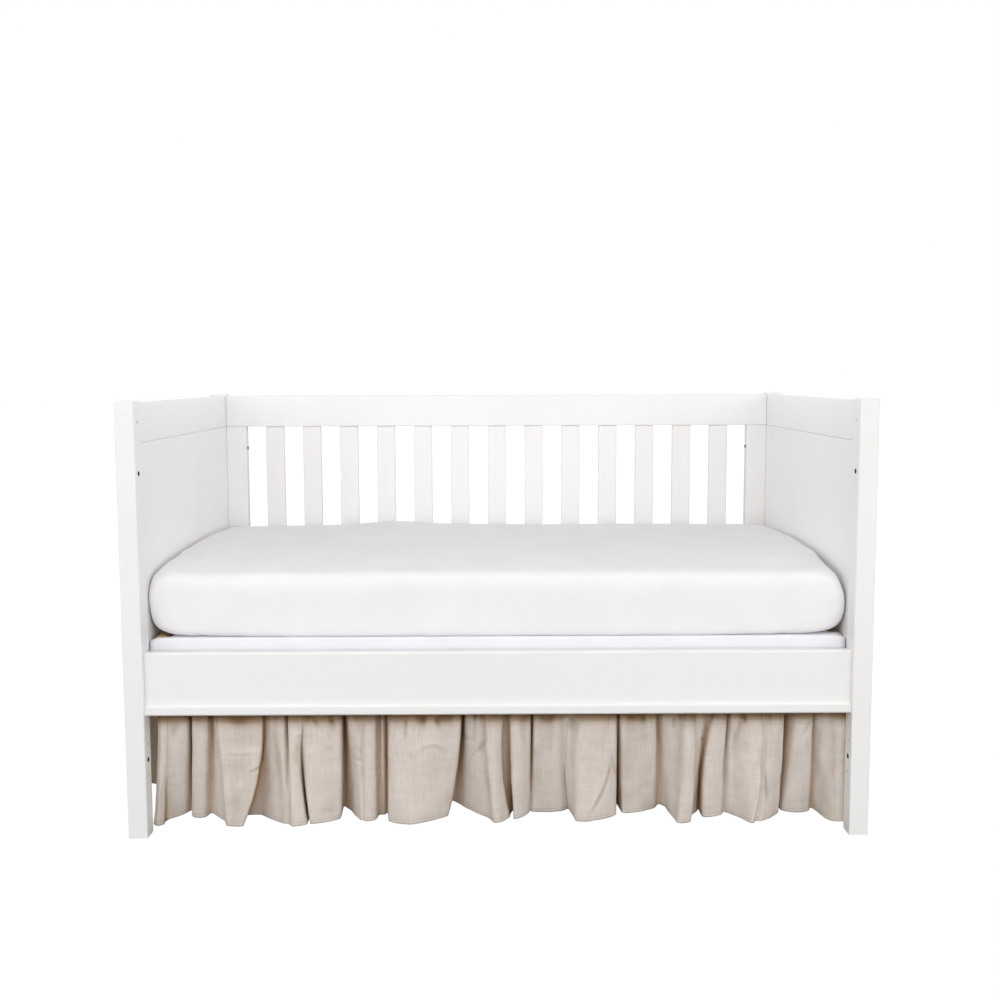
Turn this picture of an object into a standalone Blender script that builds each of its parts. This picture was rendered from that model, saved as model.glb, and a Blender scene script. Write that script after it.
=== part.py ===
"""Bed skirt on a cot bed: a white deck, four gathered ruffles, and the cot and mattress that hold them.

Metres, +Z up. X runs along the bed, Y from front to back, and the origin is on the floor under the middle.
"""
import math
from collections import namedtuple

import bmesh
import bpy
from mathutils import Matrix, Vector

MM = 0.001

# Outside of the cot
LENGTH = 1.500
DEPTH = 0.790
HEIGHT = 0.884
POST = 0.039
GAP = 0.0003                   # what touching pieces keep between them

# Posts
CAP_GROOVE_DROP = 0.025        # groove below the post's top
CAP_GROOVE_HEIGHT = 0.0016
CAP_GROOVE_DEPTH = 0.0014
POST_EDGE = 0.0025
BOLT_HOLE_RADIUS = 0.0045
BOLT_HOLE_DEPTH = 0.012
BOLT_HOLE_HEIGHTS = (0.158, 0.740)

# Ends and back
PANEL_THICKNESS = 0.018
PANEL_BOTTOM = 0.246
FRAME_TOP = 0.880
TOP_RAIL_HEIGHT = 0.080
BACK_RAIL_THICKNESS = 0.024
BACK_FRONT_Y = 0.3515          # front face of the back rails
STILE_WIDTH = 0.052
SLAT_COUNT = 13
SLAT_WIDTH = 0.0475
SLAT_THICKNESS = 0.014

# Front rail
RAIL_BOTTOM = 0.2515
RAIL_TOP = 0.379
RAIL_RECESS = 0.012            # its face behind the posts' front
RAIL_THICKNESS = 0.022
LIP_HEIGHT = 0.020
LIP_PROUD = 0.006

# Slatted base and its brackets
BASE_TOP = 0.400
BASE_HEIGHT = 0.044
BASE_HALF_LENGTH = 0.7045
BASE_FRONT_Y = -0.343
BASE_BACK_Y = 0.3365
BASE_RAIL = 0.022
BASE_EDGE = 0.004
BASE_SLATS = 9
BASE_SLAT_WIDTH = 0.070
BASE_SLAT_THICKNESS = 0.015
BRACKET_WIDTH = 0.024
BRACKET_REACH = 0.030
BRACKET_THICKNESS = 0.002
BRACKET_INSET = 0.053          # from the base's front or back edge to the bracket's middle

# Mattress in its fitted sheet
MATTRESS_HALF = Vector((0.7104, 0.3475))
MATTRESS_BOTTOM = 0.4021
MATTRESS_SWELL = Vector((0.004, 0.0145))   # how much higher its top stands mid-length and mid-depth
MATTRESS_CORNER_STEPS = 5
MATTRESS_SIDE_STEPS = 6
MattressRing = namedtuple("MattressRing", "height swell end_inset side_inset corner")
MATTRESS_RINGS = [MattressRing(*row) for row in (
    (0.0000, 0.0, 0.038, 0.026, 0.070), (0.0025, 0.0, 0.022, 0.013, 0.066), (0.010, 0.0, 0.011, 0.004, 0.052),
    (0.0250, 0.0, 0.004, 0.001, 0.034), (0.0500, 0.1, 0.001, 0.000, 0.020), (0.085, 0.3, 0.000, 0.000, 0.012),
    (0.1050, 0.6, 0.001, 0.001, 0.022), (0.1190, 0.8, 0.004, 0.004, 0.032), (0.1275, 1.0, 0.011, 0.010, 0.044),
    (0.1345, 1.0, 0.024, 0.023, 0.052), (0.1370, 1.0, 0.058, 0.056, 0.058), (0.1380, 1.0, 0.120, 0.112, 0.064),
    (0.1385, 1.0, 0.240, 0.220, 0.070))]

# Skirt
CLOTH = 0.0012                 # ruffles
DECK_CLOTH = 0.0015
CLEAR = 0.002                  # draped cloth to the edge it falls over
DECK_ROLL = 0.004
DROP_BOTTOM = 0.350            # where the deck's drop ends and the ruffle is sewn on
DeckCutout = namedtuple("DeckCutout", "side face inner near far")
DECK_CUTOUTS = [DeckCutout(*row) for row in (   # beyond "inner" from the middle, from "near" to "far" behind
    (-1, -1, 0.668, 0.064, 0.125), (1, -1, 0.682, 0.085, 0.125),   # the posts' front or back face
    (-1, 1, 0.682, 0.085, 0.125), (1, 1, 0.682, 0.085, 0.125))]
SEAM_HEIGHT = DROP_BOTTOM - 0.0005
RUFFLE_LENGTH = 0.338          # from the seam to the hem along the cloth
VISIBLE_TOP = 0.30             # share of the drop that the rail hides
SEAM_GATHER = 0.20             # depth of the gathers at the seam, as a share of that under the rail

# One row for each fold of the front ruffle, left to right. Millimetres: along the bed from its middle, and
# behind the posts' front face. "top" is just under the rail, "hem" the bottom edge. valley_x is the line
# behind the fold's right side; a valley depth of 0 runs straight on to the next row. A bow leans an
# edge sideways at mid height, and crown swells the fold's middle forward at the hem.
Fold = namedtuple("Fold", "left_top left_hem right_top right_hem valley_x_top valley_x_hem top_depth "
                          "left_depth right_depth valley_top valley_hem left_bow right_bow crown")
FRONT_FOLDS = [Fold(*row) for row in (
    (-697, -714, -678, -688, -674, -692, 43, 46, 41, 46, 64, -2, 0, 14),
    (-669, -686, -638, -660, -634, -650, 42, 70, 94, 88, 108, 0, 2, 3),
    (-627, -643, -596, -614, -590, -606, 46, 80, 76, 84, 97, 0, 0, 6),
    (-579, -560, -484, -524, -486, -530, 41, 34, 29, 76, 86, -8, 14, 5),
    (-474, -500, -439, -446, -435, -434, 52, 88, 44, 74, 36, 0, 2, 0),
    (-431, -422, -403, -402, -400, -402, 44, 27, 40, 60, 76, -2, -5, 1),
    (-397, -393, -324, -330, -325, -331, 43, 43, 66, 90, 118, -6, 1, 5),
    (-313, -314, -284, -286, -280, -281, 48, 105, 60, 62, 66, 3, 0, 0),
    (-276, -278, -253, -255, -250, -252, 45, 56, 61, 74, 84, 0, 0, 4),
    (-243, -246, -237, -239, -231, -234, 58, 84, 84, 80, 94, 0, 0, 0),
    (-224, -228, -190, -184, 0, 0, 42, 54, 37, 0, 0, 0, -2, 4),
    (-180, -176, -77, -107, -75, -103, 44, 38, 79, 90, 134, -2, 5, 6),
    (-69, -90, -32, -19, 0, 0, 58, 128, 66, 0, 0, 2, -4, 0),
    (-26, -8, 13, 22, 12, 31, 41, 41, 76, 84, 104, -5, -15, 3),
    (24, 32, 67, 63, 70, 67, 45, 60, 88, 78, 99, -3, 0, 5),
    (74, 71, 129, 137, 138, 147, 44, 92, 98, 78, 106, 0, 0, 5),
    (166, 160, 202, 190, 0, 0, 46, 50, 49, 0, 0, -25, -6, 4),
    (208, 198, 241, 247, 246, 253, 43, 53, 78, 84, 124, -4, 0, 4),
    (251, 260, 322, 330, 328, 341, 44, 85, 105, 82, 122, -1, 1, 5),
    (341, 354, 366, 362, 0, 0, 58, 112, 84, 0, 0, 0, 3, 0),
    (378, 370, 402, 397, 407, 402, 42, 37, 42, 74, 70, 6, 4, 3),
    (414, 407, 434, 418, 440, 424, 72, 78, 86, 80, 92, 2, -5, 0),
    (446, 426, 471, 468, 474, 474, 46, 70, 78, 76, 91, -9, -3, 5),
    (481, 482, 492, 494, 0, 0, 56, 84, 76, 0, 0, -3, -4, 0),
    (503, 504, 539, 522, 545, 532, 44, 64, 31, 58, 48, -4, 9, 3),
    (552, 541, 590, 588, 598, 594, 46, 44, 84, 84, 107, 6, 2, 5),
    (611, 600, 645, 654, 651, 662, 46, 92, 90, 78, 107, 0, 0, 8),
    (660, 668, 682, 678, 0, 0, 58, 96, 60, 0, 0, 0, 0, 0),
    (692, 686, 708, 708, 0, 0, 44, 43, 42, 0, 0, 1, 0, 2))]
TOP_CROWN = 1.5                # a fold's middle ahead of its edges under the rail
FOLD_TOP_EDGES = (3, 2)        # a fold's left and right edges behind its top_depth there

# The other ruffles: a fold's width and how far it stands out, millimetres, repeated along the side
SidePleat = namedtuple("SidePleat", "width crest valley")
END_PLEATS = [SidePleat(*row) for row in (
    (86, 22, 62), (70, 30, 78), (94, 26, 70), (64, 34, 60), (82, 24, 84), (76, 30, 66), (90, 22, 60))]
BACK_PLEATS = [SidePleat(*row) for row in (
    (96, 24, 74), (82, 32, 92), (112, 26, 84), (74, 34, 70), (104, 28, 96), (88, 24, 78), (92, 30, 88),
    (108, 26, 76), (80, 34, 94), (98, 24, 82), (86, 30, 72), (102, 26, 90), (90, 32, 80), (94, 24, 86))]
END_TOP_DEPTH = 44             # crest and valley just under the panel
END_VALLEY_TOP = 66
BACK_TOP_DEPTH = 50
BACK_VALLEY_TOP = 76
END_PLEATED = (128, 680)       # where the repeated folds begin and stop behind the posts' front
BACK_HALF = 692
CORNER_LIFT = 0.068            # how far the left end's hem is caught up beside the front post
CORNER_LIFT_REACH = 0.16

# The front end of an end ruffle: upright lines from the edge behind the post inwards
FoldLine = namedtuple("FoldLine", "x_top x_hem depth_top depth_hem bow radius")
END_LEAD_LINES = [FoldLine(*row) for row in (
    (53, 68, 42, 26, 0, 9), (76, 88, 42, 22, 0, 26), (100, 106, 46, 34, 0, 9), (113, 116, 66, 64, 0, 9))]

FRONT_LEVELS = (0.0, 0.30, 0.475, 0.65, 0.825, 1.0)
SIDE_LEVELS = (0.0, 0.30, 0.65, 1.0)
EDGE_RADIUS = 9                # millimetres, rounding of fold edges in plan
SOFT_RADIUS = 26               # and of a fold's crown
ROUND_STEPS = 2

WHITE_PAINT = (0.86, 0.86, 0.85)
LINEN = (0.56, 0.49, 0.41)
COTTON = (0.88, 0.88, 0.89)
BIRCH = (0.62, 0.44, 0.26)
STEEL = (0.55, 0.55, 0.56)


def clear_scene():
    for item in list(bpy.data.objects):
        bpy.data.objects.remove(item, do_unlink=True)
    for group in list(bpy.data.collections):
        bpy.data.collections.remove(group)


def new_collection(name):
    group = bpy.data.collections.new(name)
    bpy.context.scene.collection.children.link(group)
    return group


def new_material(name, color, roughness, metallic=0.0):
    finish = bpy.data.materials.new(name)
    finish.use_nodes = True
    shader = finish.node_tree.nodes["Principled BSDF"]
    shader.inputs["Base Color"].default_value = (*color, 1.0)
    shader.inputs["Roughness"].default_value = roughness
    shader.inputs["Metallic"].default_value = metallic
    finish.diffuse_color = (*color, 1.0)
    return finish


def new_object(name, bm, finish, group, smooth=False):
    bmesh.ops.recalc_face_normals(bm, faces=bm.faces)
    mesh = bpy.data.meshes.new(name)
    bm.to_mesh(mesh)
    bm.free()
    if smooth:
        mesh.shade_smooth()
        mesh.set_sharp_from_angle(angle=math.radians(50))
    mesh.materials.append(finish)
    item = bpy.data.objects.new(name, mesh)
    group.objects.link(item)
    return item


def add_bevel(item, width, segments=1):
    bevel = item.modifiers.new("edges", "BEVEL")
    bevel.width = width
    bevel.segments = segments
    bevel.limit_method = "ANGLE"
    bevel.angle_limit = math.radians(40)
    return bevel


def box_mesh(low, high):
    bm = bmesh.new()
    bmesh.ops.create_cube(bm, size=1.0)
    low, high = Vector(low), Vector(high)
    size = high - low
    bmesh.ops.scale(bm, vec=size, verts=bm.verts)
    bmesh.ops.translate(bm, vec=(low + high) / 2, verts=bm.verts)
    return bm


def board(name, low, high, finish, group, edge=0.0015):
    """A straight piece of timber with eased edges."""
    item = new_object(name, box_mesh(low, high), finish, group)
    add_bevel(item, edge)
    return item


def post(name, side, face, finish, group):
    """A square post with a groove under its cap. side is -1 left or 1 right, face -1 front or 1 back."""
    outer = Vector((side * LENGTH / 2, face * DEPTH / 2, 0.0))
    middle = outer - Vector((side * POST / 2, face * POST / 2, 0.0))
    half = Vector((POST / 2, POST / 2, 0.0))
    bm = box_mesh(middle - half, middle + half + Vector((0.0, 0.0, HEIGHT)))
    long_edges = [e for e in bm.edges if abs(e.verts[0].co.z - e.verts[1].co.z) > POST]
    bmesh.ops.bevel(bm, geom=long_edges, offset=POST_EDGE, segments=2, affect="EDGES", profile=0.5)
    top_edges = [e for e in bm.edges if min(v.co.z for v in e.verts) > HEIGHT - POST_EDGE]
    bmesh.ops.bevel(bm, geom=top_edges, offset=POST_EDGE / 2, segments=1, affect="EDGES")
    groove_low = HEIGHT - CAP_GROOVE_DROP - CAP_GROOVE_HEIGHT
    groove_high = HEIGHT - CAP_GROOVE_DROP
    slope = CAP_GROOVE_HEIGHT / 5
    for height in (groove_low, groove_low + slope, groove_high - slope, groove_high):
        geom = bm.verts[:] + bm.edges[:] + bm.faces[:]
        bmesh.ops.bisect_plane(bm, geom=geom, plane_co=(0, 0, height), plane_no=(0, 0, 1))
    shrink = 1.0 - 2 * CAP_GROOVE_DEPTH / POST
    for vert in bm.verts:
        if groove_low + slope / 2 < vert.co.z < groove_high - slope / 2:
            vert.co.x = middle.x + (vert.co.x - middle.x) * shrink
            vert.co.y = middle.y + (vert.co.y - middle.y) * shrink
    return new_object(name, bm, finish, group)


def drill(item, point, direction, radius, depth, group):
    """A blind round hole from a point on the surface into the piece."""
    bm = bmesh.new()
    bmesh.ops.create_cone(bm, cap_ends=True, segments=12, radius1=radius, radius2=radius, depth=2 * depth)
    turn = Vector((0, 0, 1)).rotation_difference(Vector(direction)).to_matrix().to_4x4()
    bmesh.ops.transform(bm, matrix=Matrix.Translation(point) @ turn, verts=bm.verts)
    cutter = new_object("cut_" + item.name, bm, item.data.materials[0], group)
    cutter.hide_render = True
    cutter.display_type = "WIRE"
    cut = item.modifiers.new("hole", "BOOLEAN")
    cut.object = cutter
    cut.operation = "DIFFERENCE"
    cut.solver = "EXACT"


def make_posts(paint, parts, cutters):
    for side, side_name in ((-1, "left"), (1, "right")):
        for face, face_name in ((-1, "front"), (1, "back")):
            item = post(f"post_{face_name}_{side_name}", side, face, paint, parts)
            if face > 0:
                continue
            for height in BOLT_HOLE_HEIGHTS:
                inner = Vector((side * (LENGTH / 2 - POST), face * (DEPTH / 2 - POST / 2), height))
                drill(item, inner, (side, 0, 0), BOLT_HOLE_RADIUS, BOLT_HOLE_DEPTH, cutters)


def make_ends(paint, parts):
    """The closed ends: a top rail over a flush panel, between the posts."""
    front = -DEPTH / 2 + POST + GAP
    back = DEPTH / 2 - POST - GAP
    rail_bottom = FRAME_TOP - TOP_RAIL_HEIGHT
    for side, side_name in ((-1, "left"), (1, "right")):
        inner = side * (LENGTH / 2 - POST)
        outer = inner + side * PANEL_THICKNESS
        low_x, high_x = min(inner, outer), max(inner, outer)
        board(f"end_rail_{side_name}", (low_x, front, rail_bottom), (high_x, back, FRAME_TOP), paint, parts)
        board(f"end_panel_{side_name}", (low_x, front, PANEL_BOTTOM),
              (high_x, back, rail_bottom - GAP), paint, parts, edge=0.001)


def make_back(paint, parts):
    """The slatted back: top and bottom rails, two stiles and upright slats with even gaps."""
    front = BACK_FRONT_Y
    back = BACK_FRONT_Y + BACK_RAIL_THICKNESS
    half = LENGTH / 2 - POST - GAP
    rail_bottom = FRAME_TOP - TOP_RAIL_HEIGHT
    board("back_top_rail", (-half, front, rail_bottom), (half, back, FRAME_TOP), paint, parts)
    board("back_bottom_rail", (-half, front, RAIL_BOTTOM), (half, back, RAIL_TOP), paint, parts)
    low = RAIL_TOP + GAP
    high = rail_bottom - GAP
    for side, side_name in ((-1, "left"), (1, "right")):
        ends = sorted((side * half, side * (half - STILE_WIDTH)))
        board(f"back_stile_{side_name}", (ends[0], front, low), (ends[1], back, high), paint, parts, edge=0.0008)
    clear = 2 * (half - STILE_WIDTH)
    gap = (clear - SLAT_COUNT * SLAT_WIDTH) / (SLAT_COUNT + 1)
    middle_y = (front + back) / 2
    for number in range(SLAT_COUNT):
        left = -clear / 2 + gap + number * (gap + SLAT_WIDTH)
        board(f"back_slat_{number + 1:02d}", (left, middle_y - SLAT_THICKNESS / 2, low),
              (left + SLAT_WIDTH, middle_y + SLAT_THICKNESS / 2, high), paint, parts, edge=0.002)


def make_front_rail(paint, parts):
    """The front rail: a plank whose bottom edge swells into a lip."""
    face = -DEPTH / 2 + RAIL_RECESS
    back = face + RAIL_THICKNESS
    half = LENGTH / 2 - POST - GAP
    edge = 0.003
    outline = [(face + edge, RAIL_TOP), (face, RAIL_TOP - edge), (face, RAIL_BOTTOM + LIP_HEIGHT),
               (face - LIP_PROUD, RAIL_BOTTOM + LIP_HEIGHT - LIP_PROUD / 2),
               (face - LIP_PROUD, RAIL_BOTTOM + edge), (face - LIP_PROUD + edge, RAIL_BOTTOM),
               (back - edge, RAIL_BOTTOM), (back, RAIL_BOTTOM + edge), (back, RAIL_TOP - edge),
               (back - edge, RAIL_TOP)]
    bm = bmesh.new()
    section = bm.faces.new([bm.verts.new((-half, y, z)) for y, z in outline])
    swept = bmesh.ops.extrude_face_region(bm, geom=[section])
    moved = [v for v in swept["geom"] if isinstance(v, bmesh.types.BMVert)]
    bmesh.ops.translate(bm, vec=(2 * half, 0, 0), verts=moved)
    new_object("front_rail", bm, paint, parts)


def make_base(timber, metal, parts):
    """A frame of four rails with cross slats let in flush, resting on four corner brackets."""
    half = BASE_HALF_LENGTH
    low = BASE_TOP - BASE_HEIGHT
    inner_front = BASE_FRONT_Y + BASE_RAIL + GAP
    inner_back = BASE_BACK_Y - BASE_RAIL - GAP
    board("base_rail_front", (-half, BASE_FRONT_Y, low), (half, BASE_FRONT_Y + BASE_RAIL, BASE_TOP),
          timber, parts, edge=BASE_EDGE)
    board("base_rail_back", (-half, BASE_BACK_Y - BASE_RAIL, low), (half, BASE_BACK_Y, BASE_TOP),
          timber, parts, edge=BASE_EDGE)
    for side, side_name in ((-1, "left"), (1, "right")):
        ends = sorted((side * half, side * (half - BASE_RAIL)))
        board(f"base_end_{side_name}", (ends[0], inner_front, low), (ends[1], inner_back, BASE_TOP),
              timber, parts, edge=BASE_EDGE)
        for face, edge_y, face_name in ((-1, BASE_FRONT_Y, "front"), (1, BASE_BACK_Y, "back")):
            middle_y = edge_y - face * BRACKET_INSET
            make_bracket(f"base_bracket_{face_name}_{side_name}", side, middle_y, low, metal, parts)
    span = 2 * (half - BASE_RAIL)
    gap = (span - BASE_SLATS * BASE_SLAT_WIDTH) / (BASE_SLATS + 1)
    for number in range(BASE_SLATS):
        left = -span / 2 + gap + number * (gap + BASE_SLAT_WIDTH)
        board(f"base_slat_{number + 1:02d}", (left, inner_front, BASE_TOP - BASE_SLAT_THICKNESS),
              (left + BASE_SLAT_WIDTH, inner_back, BASE_TOP), timber, parts)


def make_bracket(name, side, middle_y, base_bottom, metal, parts):
    """An angle bracket: one leg on the end panel, the other under the base."""
    wall = side * (LENGTH / 2 - POST - GAP)
    leg_top = base_bottom - GAP
    outline = [(0, 0), (BRACKET_REACH, 0), (BRACKET_REACH, BRACKET_THICKNESS),
               (BRACKET_THICKNESS, BRACKET_THICKNESS), (BRACKET_THICKNESS, BRACKET_REACH), (0, BRACKET_REACH)]
    bm = bmesh.new()
    corners = [bm.verts.new((wall - side * out, middle_y - BRACKET_WIDTH / 2,
                             leg_top - BRACKET_THICKNESS + up)) for out, up in outline]
    section = bm.faces.new(corners)
    swept = bmesh.ops.extrude_face_region(bm, geom=[section])
    moved = [v for v in swept["geom"] if isinstance(v, bmesh.types.BMVert)]
    bmesh.ops.translate(bm, vec=(0, BRACKET_WIDTH, 0), verts=moved)
    new_object(name, bm, metal, parts)


def rounded_rectangle(half_x, half_y, radius, corner_steps, side_steps):
    """Points round a rectangle with round corners, anticlockwise, its sides divided into steps."""
    points = []
    inner_x, inner_y = half_x - radius, half_y - radius
    corners = ((1, 1), (-1, 1), (-1, -1), (1, -1))
    for corner, (sign_x, sign_y) in enumerate(corners):
        centre = Vector((sign_x * inner_x, sign_y * inner_y))
        for step in range(corner_steps + 1):
            angle = math.radians(90) * (corner + step / corner_steps)
            points.append(centre + radius * Vector((math.cos(angle), math.sin(angle))))
        side_start = points[-1]
        next_x, next_y = corners[(corner + 1) % 4]
        next_angle = math.radians(90) * (corner + 1)
        side_end = (Vector((next_x * inner_x, next_y * inner_y))
                    + radius * Vector((math.cos(next_angle), math.sin(next_angle))))
        points += [side_start.lerp(side_end, step / side_steps) for step in range(1, side_steps)]
    return points


def make_mattress(cotton, parts):
    """A filled block, round at its corners and edges, its top swelling midway between front and back."""
    middle_y = (BASE_FRONT_Y + BASE_BACK_Y) / 2 + 0.0005
    bm = bmesh.new()
    rings = []
    for ring in MATTRESS_RINGS:
        outline = rounded_rectangle(MATTRESS_HALF.x - ring.end_inset, MATTRESS_HALF.y - ring.side_inset,
                                    ring.corner, MATTRESS_CORNER_STEPS, MATTRESS_SIDE_STEPS)
        verts = []
        for point in outline:
            swell = sum(rise * (1 - (at / half) ** 2) for rise, at, half in zip(MATTRESS_SWELL, point, MATTRESS_HALF))
            height = MATTRESS_BOTTOM + ring.height + ring.swell * swell
            verts.append(bm.verts.new((point.x, point.y + middle_y, height)))
        rings.append(verts)
    crown = max(vert.co.z for vert in rings[-1])
    for vert in rings[-1]:
        vert.co.z = crown
    for lower, upper in zip(rings, rings[1:]):
        for index in range(len(lower)):
            following = (index + 1) % len(lower)
            bm.faces.new((lower[index], lower[following], upper[following], upper[index]))
    bm.faces.new(list(reversed(rings[0])))
    bm.faces.new(rings[-1])
    new_object("mattress", bm, cotton, parts, smooth=True)


def solid_sheet(item, thickness):
    shell = item.modifiers.new("cloth", "SOLIDIFY")
    shell.thickness = thickness
    shell.offset = 0.0


def deck_profile(edge, roll_in, middle_stops):
    """Half of the deck's section, outside in: (distance from the middle, height)."""
    sheet_height = BASE_TOP + GAP + DECK_CLOTH / 2
    drop = edge + CLEAR + DECK_CLOTH / 2
    profile = [(drop, DROP_BOTTOM), (drop, (DROP_BOTTOM + sheet_height) / 2)]
    for step in range(4):
        angle = math.radians(90) * step / 3
        profile.append((drop - roll_in * (1 - math.cos(angle)),
                        sheet_height - roll_in * (1 - math.sin(angle))))
    profile += [(stop, sheet_height) for stop in middle_stops]
    return profile


def in_cutout(x, y):
    """Whether a place on the deck, measured from its middle, lies in one of the corner cut-outs."""
    for cutout in DECK_CUTOUTS:
        behind = DEPTH / 2 - cutout.face * y
        if x * cutout.side > cutout.inner and cutout.near < behind < cutout.far:
            return True
    return False


def make_deck(cotton, parts):
    """The deck lies on the base and turns down over its edges. Its corners are cut out over the brackets."""
    middle_y = (BASE_FRONT_Y + BASE_BACK_Y) / 2
    half_depth = (BASE_BACK_Y - BASE_FRONT_Y) / 2
    inner_stops = sorted({cutout.inner for cutout in DECK_CUTOUTS}, reverse=True)
    side_stops = sorted({DEPTH / 2 - edge for cutout in DECK_CUTOUTS for edge in (cutout.near, cutout.far)},
                        reverse=True)
    ends = deck_profile(BASE_HALF_LENGTH, DECK_ROLL, inner_stops)
    sides = deck_profile(half_depth, DECK_ROLL, side_stops)
    xs = [(-x, z) for x, z in ends] + [(0.0, ends[-1][1])] + [(x, z) for x, z in reversed(ends)]
    ys = [(-y, z) for y, z in sides] + [(y, z) for y, z in reversed(sides)]
    bm = bmesh.new()
    grid = [[bm.verts.new((x, middle_y + y, min(end_z, side_z))) for x, end_z in xs] for y, side_z in ys]
    flat = max(z for _, z in xs)
    for row in range(len(ys) - 1):
        for column in range(len(xs) - 1):
            in_side_drop = min(ys[row][1], ys[row + 1][1]) < flat - 1e-6
            in_end_drop = min(xs[column][1], xs[column + 1][1]) < flat - 1e-6
            middle = ((xs[column][0] + xs[column + 1][0]) / 2, (ys[row][0] + ys[row + 1][0]) / 2)
            if in_cutout(*middle) or (in_end_drop and in_side_drop):
                continue
            bm.faces.new((grid[row][column], grid[row][column + 1],
                          grid[row + 1][column + 1], grid[row + 1][column]))
    loose = [v for v in bm.verts if not v.link_faces]
    bmesh.ops.delete(bm, geom=loose, context="VERTS")
    solid_sheet(new_object("skirt_deck", bm, cotton, parts, smooth=True), DECK_CLOTH)


def fold_lines(folds):
    """The upright lines of a ruffle, left to right: each fold's left edge, crown, right edge and valley."""
    lines = []
    for fold in folds:
        middle_top = (fold.left_top + fold.right_top) / 2
        middle_hem = (fold.left_hem + fold.right_hem) / 2
        swell = (fold.left_depth + fold.right_depth) / 2 - fold.crown
        left_top, right_top = (fold.top_depth + behind for behind in FOLD_TOP_EDGES)
        lines.append(FoldLine(fold.left_top, fold.left_hem, left_top, fold.left_depth, fold.left_bow,
                              EDGE_RADIUS))
        lines.append(FoldLine(middle_top, middle_hem, fold.top_depth - TOP_CROWN, swell,
                              (fold.left_bow + fold.right_bow) / 2, SOFT_RADIUS))
        lines.append(FoldLine(fold.right_top, fold.right_hem, right_top, fold.right_depth, fold.right_bow,
                              EDGE_RADIUS))
        if fold.valley_hem:
            lines.append(FoldLine(fold.valley_x_top, fold.valley_x_hem, fold.valley_top, fold.valley_hem,
                                  fold.right_bow, EDGE_RADIUS))
    return lines


def line_point(line, drop, seam_depth):
    """Where a fold line stands, in plan, at a share of the drop from the seam (0) to the hem (1)."""
    if drop <= VISIBLE_TOP:
        share = drop / VISIBLE_TOP
        gathered = SEAM_GATHER + (1 - SEAM_GATHER) * share
        return Vector((line.x_top, seam_depth + (line.depth_top - seam_depth) * gathered))
    share = (drop - VISIBLE_TOP) / (1 - VISIBLE_TOP)
    x = line.x_top + (line.x_hem - line.x_top) * share + line.bow * 4 * share * (1 - share)
    return Vector((x, line.depth_top + (line.depth_hem - line.depth_top) * share))


def rounded_path(points, radii):
    """A path through straight runs whose corners are rounded by parabolas."""
    path = [points[0]]
    for before, corner, after, radius in zip(points, points[1:], points[2:], radii[1:]):
        into = before - corner
        out = after - corner
        reach_in = min(radius, 0.45 * into.length)
        reach_out = min(radius, 0.45 * out.length)
        start = corner + into.normalized() * reach_in
        end = corner + out.normalized() * reach_out
        for step in range(ROUND_STEPS + 1):
            t = step / ROUND_STEPS
            path.append(start * (1 - t) ** 2 + corner * 2 * t * (1 - t) + end * t ** 2)
    path.append(points[-1])
    return path


def hem_height(depth, seam_depth):
    """A fold that swings away from the seam's plane lifts its hem, because the cloth keeps its length."""
    swing = (depth - seam_depth) * MM
    return SEAM_HEIGHT - math.sqrt(RUFFLE_LENGTH ** 2 - swing ** 2)


def make_ruffle(name, lines, seam_depth, levels, place, linen, parts, lift=None):
    """A gathered panel, lofted down its fold lines. place turns (along, depth, height) into the bed's axes."""
    bm = bmesh.new()
    radii = [line.radius for line in lines]
    hem = rounded_path([line_point(line, 1.0, seam_depth) for line in lines], radii)
    rows = []
    for drop in levels:
        path = rounded_path([line_point(line, drop, seam_depth) for line in lines], radii)
        row = []
        for point, hem_point in zip(path, hem):
            bottom = hem_height(hem_point.y, seam_depth)
            if lift:
                bottom += lift(hem_point.x * MM)
            height = SEAM_HEIGHT + (bottom - SEAM_HEIGHT) * drop
            row.append(bm.verts.new(place(point.x * MM, point.y * MM, height)))
        rows.append(row)
    for upper, lower in zip(rows, rows[1:]):
        for index in range(len(upper) - 1):
            bm.faces.new((upper[index], upper[index + 1], lower[index + 1], lower[index]))
    solid_sheet(new_object(name, bm, linen, parts, smooth=True), CLOTH)


def side_lines(pleats, start, end, top_depth, valley_top):
    """Plain folds for a side that stands out of sight, fitted between two ends (millimetres)."""
    scale = (end - start) / sum(pleat.width for pleat in pleats)
    folds = []
    left = start
    for pleat in pleats:
        width = pleat.width * scale
        right = left + width * 0.70
        valley = left + width * 0.85
        folds.append(Fold(left, left, right, right, valley, valley, top_depth, pleat.crest + 8,
                          pleat.crest + 4, valley_top, pleat.valley, 0, 0, 4))
        left += width
    folds[-1] = folds[-1]._replace(valley_hem=0)
    return fold_lines(folds)


def corner_lift(along):
    """How far the left end's hem is lifted, by the distance behind the posts' front."""
    start = END_LEAD_LINES[0].x_hem * MM
    return CORNER_LIFT * max(0.0, 1 - max(0.0, along - start) / CORNER_LIFT_REACH)


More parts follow.
